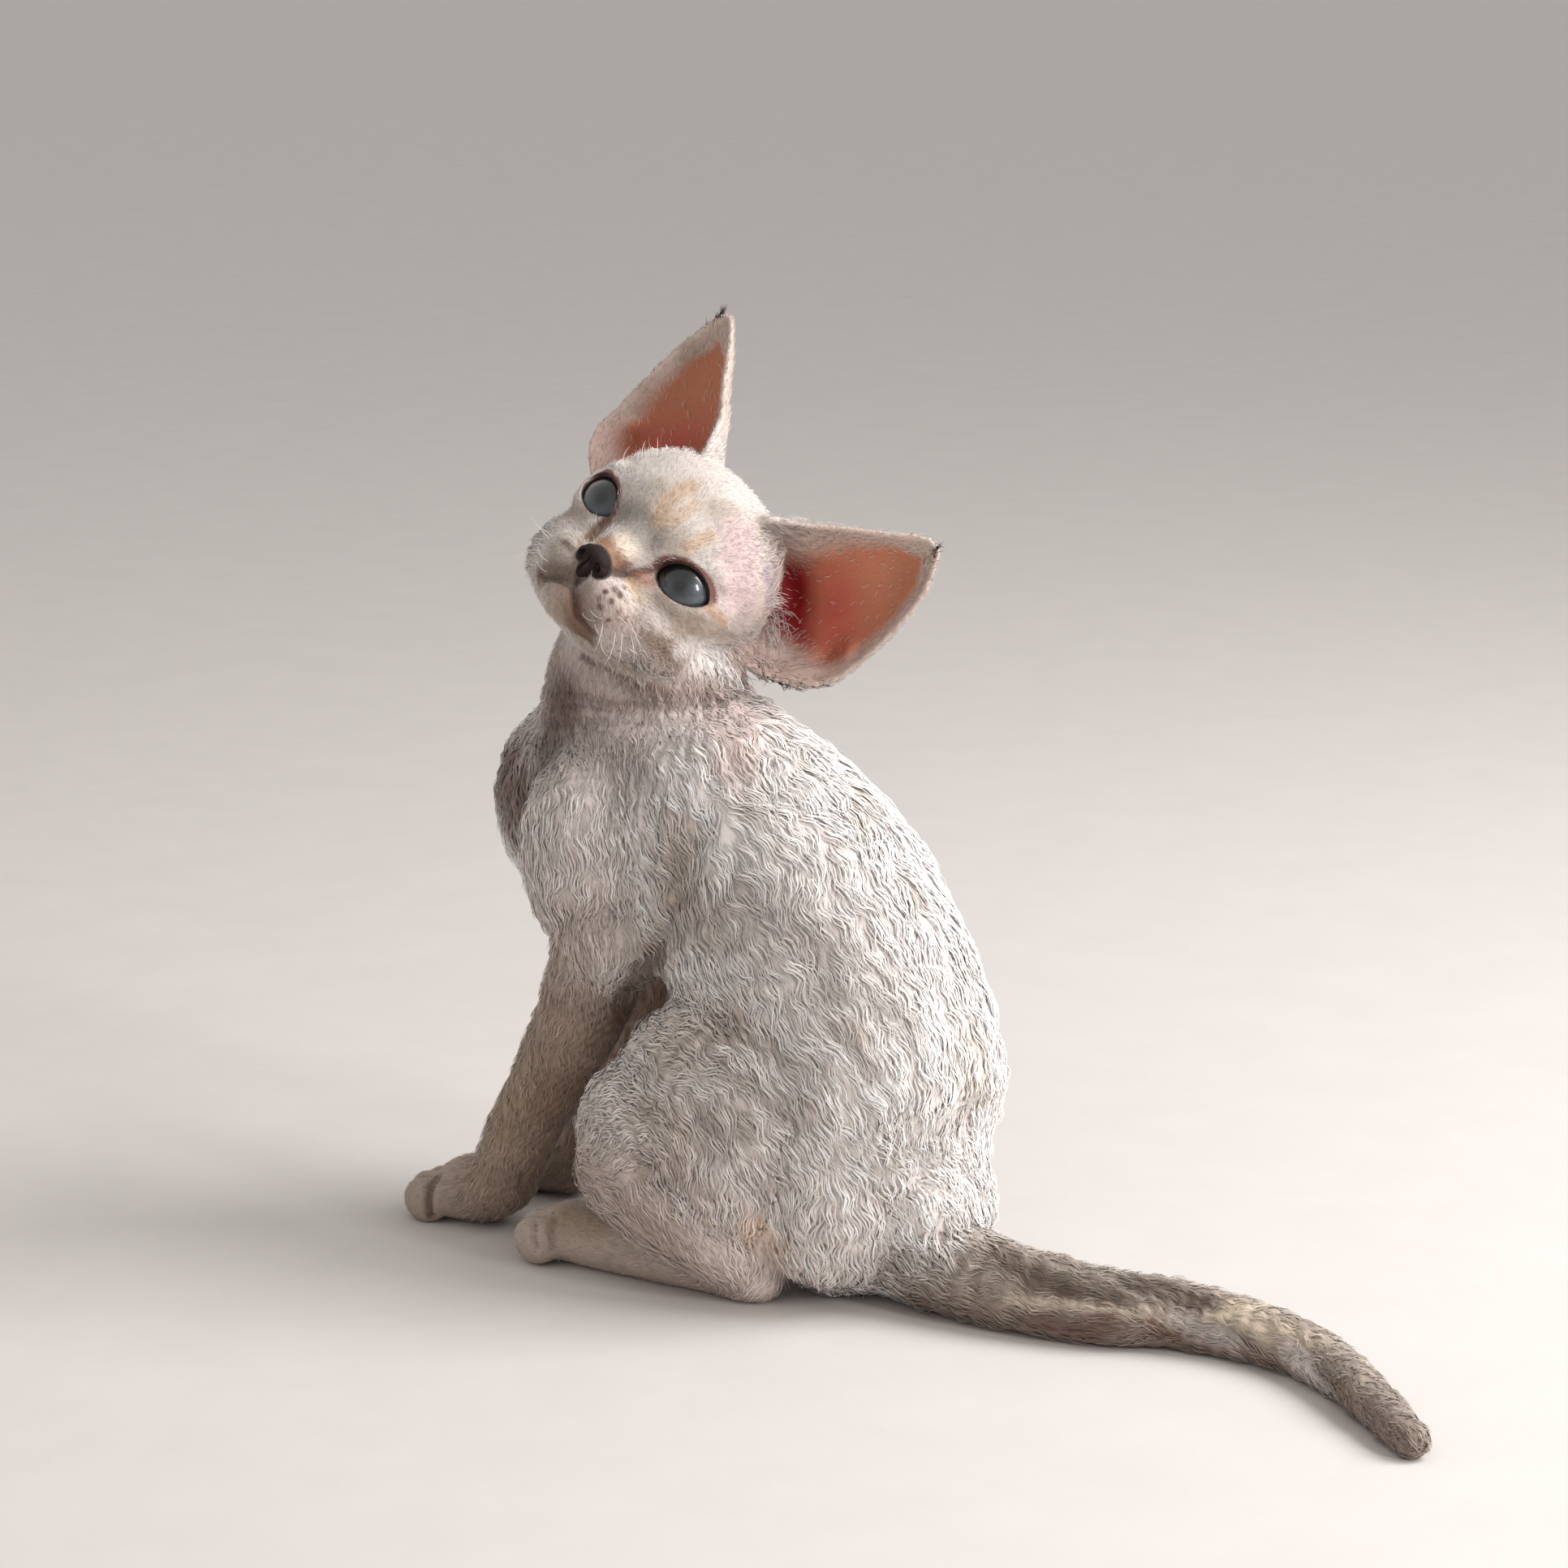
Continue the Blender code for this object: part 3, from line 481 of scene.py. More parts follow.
def ear_places(side):
    """The ear's leaf as rows of points in the design frame, with where each is across and along the leaf."""
    rows = smooth_path([(*inner, *outer, depth, bend) for inner, outer, depth, bend
                        in zip(EAR_INNER_EDGES[side], EAR_OUTER_EDGES[side], EAR_DEPTHS, EAR_BENDS)], EAR_STEPS)
    lines = []
    for i, row in enumerate(rows):
        inner = Vector(row[:3])
        outer = Vector(row[3:6])
        ahead = rows[min(i + 1, len(rows) - 1)]
        behind = rows[max(i - 1, 0)]
        rise = Vector(ahead[:3]) + Vector(ahead[3:6]) - Vector(behind[:3]) - Vector(behind[3:6])
        back = (outer - inner).cross(rise).normalized()
        if back.y < 0:
            back = -back
        bend = math.radians(row[7])
        t = i / (len(rows) - 1)
        line = []
        for k in range(EAR_COLUMNS + 1):
            s = 2 * k / EAR_COLUMNS - 1
            across = math.sin(bend * s) / math.sin(bend)
            deep = (math.cos(bend * s) - math.cos(bend)) / (1 - math.cos(bend))
            relief = sum(rise_by * bump_at(s, t, centre, sizes) for _, centre, sizes, rise_by in EAR_RELIEF)
            place = (inner + outer) / 2 + (outer - inner) / 2 * across + back * (row[6] * deep + relief)
            line.append(((side * place.x, place.y, place.z), s, t))
        lines.append(line)
    return lines


def ear_leaf(side):
    """The ear as a leaf with no thickness, its normals towards the back."""
    bm = bmesh.new()
    lines = []
    for line in ear_places(side):
        lines.append([bm.verts.new(place) for place, s, t in line])
    for low, high in zip(lines, lines[1:]):
        for k in range(EAR_COLUMNS):
            bm.faces.new((low[k], low[k + 1], high[k + 1], high[k]))
    bmesh.ops.recalc_face_normals(bm, faces=bm.faces)
    bm.normal_update()
    if lines[len(lines) // 2][EAR_COLUMNS // 2].normal.y < 0:
        bmesh.ops.reverse_faces(bm, faces=bm.faces)
    bm.transform(head_matrix())
    return object_from("leaf", bm)


def ear(side):
    """One ear, with a wall of even thickness."""
    leaf = ear_leaf(side)
    wall = leaf.modifiers.new("wall", "SOLIDIFY")
    wall.thickness = EAR_WALL
    wall.offset = 1
    wall.use_even_offset = True
    return evaluated(leaf)


def almond_point(side, a, depth, out=1.0):
    """A point on the edge of an eye's opening, this deep in front of the eye's centre, in the head's frame."""
    wide, high, low = EYE_OPENING
    flare = ALMOND_FLARE[1] + (ALMOND_FLARE[0] - ALMOND_FLARE[1]) * depth / ALMOND_FRONT
    point = EYE_CORNERS[0 if math.cos(a) > 0 else 1]
    x = wide * math.cos(a) * flare * out
    z = (high if math.sin(a) > 0 else low) * math.sin(a) * abs(math.sin(a)) ** point * flare * out
    turned = Matrix.Rotation(side * EYE_OUTWARD, 4, "Z") @ Matrix.Rotation(-side * EYE_SLANT, 4, "Y")
    return turned @ Vector((x, depth, z)) + Vector((side * EYE_CENTRE[0], *EYE_CENTRE[1:]))


def almond(side):
    """The opening between the lids of one eye, as a slanted prism with rounded corners."""
    bm = bmesh.new()
    angles = [math.tau * k / ALMOND_SIDES for k in range(ALMOND_SIDES)]
    near = [bm.verts.new(almond_point(side, a, ALMOND_FRONT)) for a in angles]
    far = [bm.verts.new(almond_point(side, a, 0)) for a in angles]
    for k in range(ALMOND_SIDES):
        after = (k + 1) % ALMOND_SIDES
        bm.faces.new((near[k], near[after], far[after], far[k]))
    bm.faces.new(reversed(near))
    bm.faces.new(far)
    bmesh.ops.recalc_face_normals(bm, faces=bm.faces)
    bm.transform(head_matrix())
    return object_from("almond", bm)


# The lids' moist rim: height over the eye, thickness above and below, flatness, and how its place is searched for
LID_LIFT = 0.0004
LID_THICKNESS = (0.00062, 0.00040)
LID_FLATNESS = 0.75
LID_SIDES = 10
LID_START = 0.7
LID_ROUNDS = 4
LID_STRIDE = 1.1


def lid_rim(side):
    """The moist rim of the lids round one eye, thicker above, resting on the eye."""
    centre = Vector((side * EYE_CENTRE[0], *EYE_CENTRE[1:]))
    count = 2 * ALMOND_SIDES
    middles = []
    for k in range(count):
        a = math.tau * k / count
        depth = -EYE_RADIUS * LID_START
        for _ in range(LID_ROUNDS):
            point = almond_point(side, a, depth)
            reach = (point - centre).length - EYE_RADIUS - LID_LIFT
            depth += reach * LID_STRIDE
        middles.append((point, a))
    bm = bmesh.new()
    loops = []
    for k, (point, a) in enumerate(middles):
        along = (middles[(k + 1) % count][0] - middles[k - 1][0]).normalized()
        out = (point - centre).normalized()
        aside = along.cross(out)
        upper = 0.5 + 0.5 * math.sin(a)
        size = LID_THICKNESS[1] + (LID_THICKNESS[0] - LID_THICKNESS[1]) * upper
        loop = []
        for j in range(LID_SIDES):
            b = math.tau * j / LID_SIDES
            loop.append(bm.verts.new(point + size * (out * math.cos(b) * LID_FLATNESS + aside * math.sin(b))))
        loops.append(loop)
    for k in range(count):
        one, two = loops[k], loops[(k + 1) % count]
        for j in range(LID_SIDES):
            after = (j + 1) % LID_SIDES
            bm.faces.new((one[j], one[after], two[after], two[j]))
    bmesh.ops.recalc_face_normals(bm, faces=bm.faces)
    bm.transform(head_matrix())
    return object_from("lid_rim", bm)


# Ear canal in the head's frame: centre and radii
CANAL = ((0.0205, 0.0255, 0.0130), (0.0050, 0.0060, 0.0062))


def in_head_frame(obj):
    """The object, laid out in the head's frame, placed on the body."""
    obj.data.transform(head_matrix())
    return obj


def flesh():
    """The whole kitten's skin, with sockets, lids and ear canals."""
    trunk = fused("trunk", trunk_pieces(), *TRUNK_SKIN)
    limbs = fused("limbs", limb_pieces(), *LIMB_SKIN)
    head = fused("head_flesh", head_pieces(), *HEAD_SKIN)
    skin = fused("skin", [trunk, limbs, head, ear(1), ear(-1)], *WHOLE_SKIN)
    cuts = []
    for side in (1, -1):
        socket = ball("socket", (side * EYE_CENTRE[0], *EYE_CENTRE[1:]), (EYE_RADIUS,) * 3, detail=5)
        canal = ball("canal", (side * CANAL[0][0], *CANAL[0][1:]), CANAL[1])
        cuts += [in_head_frame(socket), in_head_frame(canal), almond(side)]
    combined(skin, cuts, "DIFFERENCE")
    return combined(skin, [lid_rim(1), lid_rim(-1)], "UNION")


# Regions of the body, each as soft balls along it: x, y, z and three radii

def soft_balls(rings, steps=5):
    """A tube's rings as balls."""
    return [(*row[:3], row[3], row[4], row[4]) for row in smooth_path(rings, steps)]


def head_balls():
    """The head's main balls as points and mean radii in the design frame."""
    rows = [(centre, radii) for _, centre, radii in HEAD_BALLS]
    for _, centre, radii in PAIRED_HEAD_BALLS:
        rows += [((side * centre[0], *centre[1:]), radii) for side in (1, -1)]
    return [(*placed(centre), *(sum(radii) / 3,) * 3) for centre, radii in rows]


# Middle line of an ear in the head's frame: x, y, z and radius
EAR_AXIS = ((0.0155, 0.0235, 0.0140, 0.0100), (0.0300, 0.0230, 0.0260, 0.0130), (0.0432, 0.0185, 0.0512, 0.0060))


def ear_balls():
    """Both ears as balls along their middle lines, in the design frame."""
    made = []
    for side in (1, -1):
        for row in smooth_path(EAR_AXIS, 4)[2:]:
            made.append((*placed((side * row[0], row[1], row[2])), *(row[3],) * 3))
    return made


def both_sides(rows):
    return [row for side in (1, -1) for row in on_side(rows, side)]


WRIST_RADII = (0.0100, 0.0085, 0.0085)
TOE_ROW_RADII = (0.0130, 0.0085, 0.0080)
REGIONS = {
    "torso": [*soft_balls(TORSO_RINGS), (*BREAST_BALL[0], *BREAST_BALL[1]), (*PELVIS_BALL[0], *PELVIS_BALL[1])],
    "neck": soft_balls(NECK_RINGS),
    "upperarm": both_sides([(*centre, *radii) for centre, radii in UPPER_ARM_BALLS]),
    "foreleg": both_sides(soft_balls(FORELEG_RINGS[:5])),
    "forepaw": both_sides([(*FORELEG_RINGS[5][:3], *WRIST_RADII), (*FORE_TOE_ROW, *TOE_ROW_RADII)]),
    "thigh": both_sides([(*centre, *radii) for centre, radii in THIGH_BALLS]),
    "shank": both_sides(soft_balls(SHANK_RINGS)),
    "hindfoot": both_sides([*soft_balls(HIND_FOOT_RINGS), (*HIND_TOE_ROW, *TOE_ROW_RADII)]),
    "tail": soft_balls(TAIL_RINGS[1:]),
    "head": head_balls(),
    "ear": ear_balls(),
}
# How softly regions blend, and how much further some reach
REGION_BLEND = 0.0022
REGION_REACH = {"head": 0.0030, "ear": 0.0010}

# Coat of each region: length, half width of a tuft, rise of the tips, wave's half width, wave length, spacing of
# the tufts, spacing of the locks, share by which tufts close up into locks
COAT = {
    "torso": (0.0088, 0.00022, 0.0015, 0.00052, 0.0074, 0.00093, 0.0038, 0.34),
    "neck": (0.0034, 0.00012, 0.0008, 0.00020, 0.0046, 0.00082, 0.0022, 0.40),
    "upperarm": (0.0076, 0.00021, 0.0014, 0.00050, 0.0064, 0.00093, 0.0036, 0.36),
    "foreleg": (0.0050, 0.00017, 0.0010, 0.00036, 0.0048, 0.00086, 0.0026, 0.38),
    "forepaw": (0.0021, 0.00011, 0.0004, 0.00008, 0.0040, 0.00070, 0.0016, 0.34),
    "thigh": (0.0086, 0.00022, 0.0015, 0.00054, 0.0070, 0.00093, 0.0038, 0.36),
    "shank": (0.0056, 0.00018, 0.0011, 0.00038, 0.0052, 0.00088, 0.0026, 0.38),
    "hindfoot": (0.0024, 0.00012, 0.0005, 0.00010, 0.0040, 0.00072, 0.0016, 0.34),
    "tail": (0.0060, 0.00019, 0.0010, 0.00038, 0.0056, 0.00088, 0.0026, 0.44),
    "head": (0.0025, 0.00009, 0.0006, 0.00012, 0.0036, 0.00058, 0.0015, 0.40),
    "ear": (0.0023, 0.00010, 0.0007, 0.00015, 0.0036, 0.00068, 0.0015, 0.40),
}
# Places in the head's frame, as on its left, where the coat is longer: centre and reach, and what they add
RUFF = ((0.0290, 0.0300, -0.0040), 0.0095)
RUFF_ADDS = (0.0056, 0.00005, 0.0020, 0.00055, 0.0014, 0.00012, 0.0010, 0.25)
EAR_BASE = ((0.0190, 0.0150, 0.0230), 0.0100)
EAR_BASE_ADDS = (0.0020, 0.00002, 0.0013, 0.00040, 0.0, 0.00004, 0.0006, 0.25)
CHEEK = ((0.0215, 0.0080, -0.0190), 0.0085)
CHEEK_ADDS = (0.0028, 0.00004, 0.0014, 0.00034, 0.0008, 0.00006, 0.0008, 0.25)

# Lie of the coat in each region, on the left side
LIE = {
    "torso": (0.05, 0.60, -0.80),
    "neck": (0.05, 0.30, -0.95),
    "upperarm": (0.10, 0.22, -0.97),
    "foreleg": (0.10, -0.30, -0.95),
    "forepaw": (0.00, -0.95, -0.25),
    "shank": (0.00, 0.85, -0.50),
    "hindfoot": (0.00, -0.97, -0.10),
    "tail": (0.00, 1.00, -0.10),
}
BREAST_LIE = (0, 0.05, -1.0)
BREAST_FRONT = (-0.030, 0.02)
# The whorl on the thigh, as y and z of its middle, and its share in the coat's lie there
THIGH_WHORL = (0.0050, 0.0330)
WHORL_SHARE = 0.75
# In the head's frame: the point that the face's coat leads away from, and the way of the ears' coat
NOSE_POINT = (0, -0.0130, -0.0105)
EAR_WAY = (0.0280, -0.0035, 0.0430)


def region_shares(points):
    """Share of each region at each point, softly blended."""
    gaps = []
    for name, balls in REGIONS.items():
        rows = np.array(balls)
        radii = rows[:, 3:]
        ratio = np.linalg.norm((points[:, None, :] - rows[None, :, :3]) / radii[None], axis=2)
        gaps.append(((ratio - 1) * radii.min(axis=1)[None]).min(axis=1) - REGION_REACH.get(name, 0))
    gaps = np.array(gaps).T
    weights = np.exp(-(gaps - gaps.min(axis=1, keepdims=True)) / REGION_BLEND)
    return weights / weights.sum(axis=1, keepdims=True)


def share_of(shares, name):
    """The share of one region at each point."""
    return shares[:, list(REGIONS).index(name)]


def in_parts(function, points, size=20000):
    """The function's rows for all points, worked out part by part."""
    return np.concatenate([function(points[k:k + size]) for k in range(0, len(points), size)])


def coat_at(points, shares):
    """The coat's sizes at each point, from the shares of the regions, longer at the ears' base and the jaw."""
    sizes = shares @ np.array([COAT[name] for name in REGIONS])
    head = in_head(points)
    head[:, 0] = np.abs(head[:, 0])
    for (centre, reach), adds in ((RUFF, RUFF_ADDS), (EAR_BASE, EAR_BASE_ADDS), (CHEEK, CHEEK_ADDS)):
        near = np.exp(-(np.linalg.norm(head - np.array(centre), axis=1) / reach) ** 2)
        sizes = sizes + near[:, None] * np.array(adds)
    return sizes


def lie_at(points, shares):
    """Unit direction in which the coat lies at each point, before it is laid on the surface."""
    side = np.where(points[:, 0] < 0, -1.0, 1.0)
    total = np.zeros_like(points)
    for k, name in enumerate(REGIONS):
        if name in LIE:
            way = np.tile(np.array(LIE[name]), (len(points), 1))
            way[:, 0] *= side
            if name == "torso":
                front = np.clip((BREAST_FRONT[0] - points[:, 1]) / BREAST_FRONT[1], 0, 1)[:, None]
                way = way * (1 - front) + np.array(BREAST_LIE) * front
        elif name == "thigh":
            round_y = points[:, 2] - THIGH_WHORL[1]
            round_z = THIGH_WHORL[0] - points[:, 1]
            turn = unit(np.stack([np.zeros_like(side), round_y, round_z], axis=1))
            way = turn * WHORL_SHARE + np.array(LIE["torso"]) * (1 - WHORL_SHARE)
        elif name == "head":
            way = (in_head(points) - NOSE_POINT) @ HEAD[:3, :3].T
        else:
            flat = np.sign(in_head(points)[:, :1]) * EAR_WAY[0]
            way = np.concatenate([flat, np.tile(EAR_WAY[1:], (len(points), 1))], axis=1) @ HEAD[:3, :3].T
        total += unit(way) * shares[:, k:k + 1]
    return unit(total)


def laid(ways, normals):
    """The directions laid flat on the surface."""
    return unit(ways - normals * (ways * normals).sum(axis=1, keepdims=True))


# Where tufts grow

class Surface:
    """The skin's mesh as arrays, with a tree for the nearest point."""

    def __init__(self, obj):
        mesh = obj.data
        mesh.calc_loop_triangles()
        self.places = read_all(mesh.vertices, "co", 3)
        self.normals = read_all(mesh.vertices, "normal", 3)
        self.corners = read_all(mesh.loop_triangles, "vertices", 3, np.int32)
        a, b, c = (self.places[self.corners[:, k]] for k in range(3))
        self.areas = np.linalg.norm(np.cross(b - a, c - a), axis=1) / 2
        self.tree = BVHTree.FromObject(obj, bpy.context.evaluated_depsgraph_get())

    def drawn(self, count, rng):
        """Points and normals drawn evenly over the surface."""
        chosen = rng.choice(len(self.corners), count, p=self.areas / self.areas.sum())
        u, v = np.sort(rng.random((2, count)), axis=0)
        weights = np.stack([u, v - u, 1 - v], axis=1)
        corners = self.corners[chosen]
        points = (self.places[corners] * weights[:, :, None]).sum(axis=1)
        normals = (self.normals[corners] * weights[:, :, None]).sum(axis=1)
        return points, unit(normals)

    def nearest(self, points):
        """The nearest place on the surface to each point, and the normal there."""
        found = [self.tree.find_nearest(point) for point in points]
        return np.array([hit[0] for hit in found]), np.array([hit[1] for hit in found])


def spaced(points, gaps, cell):
    """Indices of points of which no two are nearer than their gaps."""
    grid = {}
    kept = []
    keys = np.floor(points / cell).astype(int)
    rows = points.tolist()
    around = [(i, j, k) for i in (-1, 0, 1) for j in (-1, 0, 1) for k in (-1, 0, 1)]
    for index, (x, y, z) in enumerate(rows):
        a, b, c = keys[index]
        gap = gaps[index] ** 2
        free = True
        for i, j, k in around:
            for other in grid.get((a + i, b + j, c + k), ()):
                p = rows[other]
                if (p[0] - x) ** 2 + (p[1] - y) ** 2 + (p[2] - z) ** 2 < gap:
                    free = False
                    break
            if not free:
                break
        if free:
            grid.setdefault((a, b, c), []).append(index)
            kept.append(index)
    return np.array(kept)


def marched(surface, roots, normals, turns, lengths, steps):
    """Points on the surface and normals along each tuft, from its root along the lie of the coat."""
    places = [roots]
    ups = [normals]
    for _ in range(steps):
        here, up = places[-1], ups[-1]
        way = laid(lie_at(here, in_parts(region_shares, here)), up)
        aside = np.cross(up, way)
        way = way * np.cos(turns)[:, None] + aside * np.sin(turns)[:, None]
        place, normal = surface.nearest(here + way * (lengths / steps)[:, None])
        places.append(place)
        ups.append(normal)
    return np.stack(places, axis=1), np.stack(ups, axis=1)


# How waves rise: height against width, the arc of the rise, lowest height, and how deep the roots start
CREST = 0.65
RISE_ARC = 2.1
LOWEST = -0.0001
ROOT_DEPTH = 0.0003


def waved(places, ups, sizes, phases, swings, heights):
    """The tufts lifted off the skin and waved from side to side and up and down."""
    count = places.shape[1]
    share = np.linspace(0, 1, count)[None, :]
    asides = np.cross(ups, unit(np.gradient(places, axis=1)))
    length, wave, wave_length = sizes[:, 0:1], sizes[:, 3:4], sizes[:, 4:5]
    angle = phases[:, None] + math.tau * share * length / wave_length
    start = phases[:, None]
    sway = (np.sin(angle) - np.sin(start) * (1 - share)) * wave * swings[:, None]
    rise = heights[:, None] * np.sin(share * RISE_ARC) + CREST * wave * (np.cos(angle) - np.cos(start)) * share
    rise = np.maximum(rise, LOWEST) - ROOT_DEPTH * (1 - share)
    return places + asides * sway[:, :, None] + ups * rise[:, :, None], asides


# Tufts: width from root to tip, how far edges and ridge lie from the middle, roundness and slope of the normals
WIDTHS = (0.80, 1.0, 1.0, 0.95, 0.82, 0.66, 0.46)
EDGE_DROP = 0.3
RIDGE_RISE = 0.5
TUFT_ROUND = 0.32
TUFT_SLOPE = 0.5
# Side of each tuft's own patch on the map for baking, and share of the skin's faces kept to unwrap it
BAKE_PATCH = 0.003
PROXY_SHARE = 0.03
UNWRAP_ANGLE = math.radians(66)
UNWRAP_MARGIN = 0.004


def prisms(name, lines, asides, ups, half_widths, colours, uvs):
    """One mesh of closed, three-sided, tapered tufts along the lines, with their colours and bake patches."""
    count, stations = lines.shape[:2]
    rings = stations - 1
    shape = np.interp(np.linspace(0, 1, rings), np.linspace(0, 1, len(WIDTHS)), WIDTHS)
    across = (half_widths[:, None] * shape[None, :])[:, :, None]
    centre = lines[:, :rings]
    side, up = asides[:, :rings], ups[:, :rings]
    corners = np.stack([centre - side * across - up * across * EDGE_DROP,
                        centre + side * across - up * across * EDGE_DROP,
                        centre + up * across * RIDGE_RISE], axis=2)
    verts = np.concatenate([corners.reshape(count, rings * 3, 3), lines[:, rings:]], axis=1)
    per = rings * 3 + 1
    quads = []
    for ring in range(rings - 1):
        for k in range(3):
            after = (k + 1) % 3
            quads.append((ring * 3 + k, ring * 3 + after, ring * 3 + 3 + after, ring * 3 + 3 + k))
    last = (rings - 1) * 3
    tris = [(last + k, last + (k + 1) % 3, per - 1) for k in range(3)] + [(2, 1, 0)]
    pattern = np.array([v for face in (*quads, *tris) for v in face])
    sizes = np.array([4] * len(quads) + [3] * len(tris))
    loops = (pattern[None, :] + (np.arange(count) * per)[:, None]).ravel()
    starts = np.concatenate([[0], np.cumsum(np.tile(sizes, count))[:-1]])
    mesh = bpy.data.meshes.new(name)
    mesh.vertices.add(count * per)
    mesh.vertices.foreach_set("co", verts.astype(np.float32).ravel())
    mesh.loops.add(len(loops))
    mesh.loops.foreach_set("vertex_index", loops.astype(np.int32))
    mesh.polygons.add(len(starts))
    mesh.polygons.foreach_set("loop_start", starts.astype(np.int32))
    mesh.update(calc_edges=True)
    mesh.polygons.foreach_set("use_smooth", np.ones(len(starts), bool))
    tint = np.concatenate([np.repeat(colours[:, :rings], 3, axis=1), colours[:, rings:]], axis=1)
    store_tint(mesh, tint.reshape(-1, 3))
    offsets = [((k % 3) / 2 - 0.5, (k // 3) / rings - 0.5) for k in range(per - 1)] + [(0, 0.5)]
    spots = uvs[:, None, :] + (np.array(offsets) * BAKE_PATCH)[None]
    bake = mesh.uv_layers.new(name="OFBake")
    bake.uv.foreach_set("vector", spots.reshape(-1, 2)[loops].astype(np.float32).ravel())
    leant = tuft_normals(lines, asides, ups).astype(np.float32)
    mesh.normals_split_custom_set_from_vertices(leant.reshape(-1, 3))
    obj = bpy.data.objects.new(name, mesh)
    bpy.context.scene.collection.objects.link(obj)
    return obj


def tuft_normals(lines, asides, ups):
    """Soft normals of the tufts: the skin's, leant with each tuft's own waves and a little to its sides."""
    ways = unit(np.gradient(lines, axis=1))
    lean = unit(ups - ways * (ways * ups).sum(axis=2, keepdims=True) * TUFT_SLOPE)
    around = unit(np.stack([lean - asides * TUFT_ROUND, lean + asides * TUFT_ROUND, lean], axis=2)[:, :-1])
    return np.concatenate([around.reshape(len(lines), -1, 3), lean[:, -1:]], axis=1)


class Unwrap:
    """An unwrap of the skin's own shape, thinned out, to look up where a root lies on it."""

    def __init__(self, skin):
        proxy = bpy.data.objects.new("unwrap", skin.data.copy())
        bpy.context.scene.collection.objects.link(proxy)
        thin = proxy.modifiers.new("thin", "DECIMATE")
        thin.ratio = PROXY_SHARE
        evaluated(proxy)
        bpy.ops.object.select_all(action="DESELECT")
        proxy.select_set(True)
        bpy.context.view_layer.objects.active = proxy
        bpy.ops.object.mode_set(mode="EDIT")
        bpy.ops.mesh.select_all(action="SELECT")
        bpy.ops.uv.smart_project(angle_limit=UNWRAP_ANGLE, island_margin=UNWRAP_MARGIN)
        bpy.ops.object.mode_set(mode="OBJECT")
        mesh = proxy.data
        mesh.calc_loop_triangles()
        uv = read_all(mesh.uv_layers.active.uv, "vector", 2)
        verts = read_all(mesh.loop_triangles, "vertices", 3, np.int32)
        places = read_all(mesh.vertices, "co", 3)
        self.corner_uv = uv[read_all(mesh.loop_triangles, "loops", 3, np.int32)]
        self.corners = places[verts]
        self.tree = BVHTree.FromPolygons(places.tolist(), verts.tolist())
        remove(proxy)

    def at(self, points):
        """The place of each point on the unwrap."""
        found = [self.tree.find_nearest(point) for point in points]
        faces = np.array([hit[2] for hit in found])
        spots = np.array([hit[0] for hit in found])
        a, b, c = (self.corners[faces, k] for k in range(3))
        whole = np.cross(b - a, c - a)
        size = (whole * whole).sum(axis=1) + 1e-20
        w_b = (np.cross(spots - a, c - a) * whole).sum(axis=1) / size
        w_c = (np.cross(b - a, spots - a) * whole).sum(axis=1) / size
        weights = np.stack([1 - w_b - w_c, w_b, w_c], axis=1)
        return (self.corner_uv[faces] * weights[:, :, None]).sum(axis=1)


# Colours, as sRGB from 0 to 255: tips and roots of the coat in each region

TIP_COLOURS = {
    "torso": (252, 246, 242),
    "neck": (188, 168, 160),
    "upperarm": (246, 236, 230),
    "foreleg": (186, 162, 145),
    "forepaw": (192, 174, 160),
    "thigh": (242, 232, 226),
    "shank": (206, 186, 174),
    "hindfoot": (206, 188, 175),
    "tail": (214, 198, 184),
    "head": (232, 224, 218),
    "ear": (226, 206, 195),
}
ROOT_COLOURS = {
    "torso": (228, 214, 206),
    "neck": (146, 121, 111),
    "upperarm": (210, 194, 184),
    "foreleg": (140, 114, 98),
    "forepaw": (152, 132, 118),
    "thigh": (206, 190, 180),
    "shank": (168, 145, 132),
    "hindfoot": (168, 147, 133),
    "tail": (150, 131, 117),
    "head": (190, 172, 161),
    "ear": (186, 162, 148),
}
# The darker ground of the coat's partings: colour, grain, and start of their noise
PARTING = (166, 148, 130)
PARTING_GRAIN = 0.0085
PARTING_SEED = 3.0

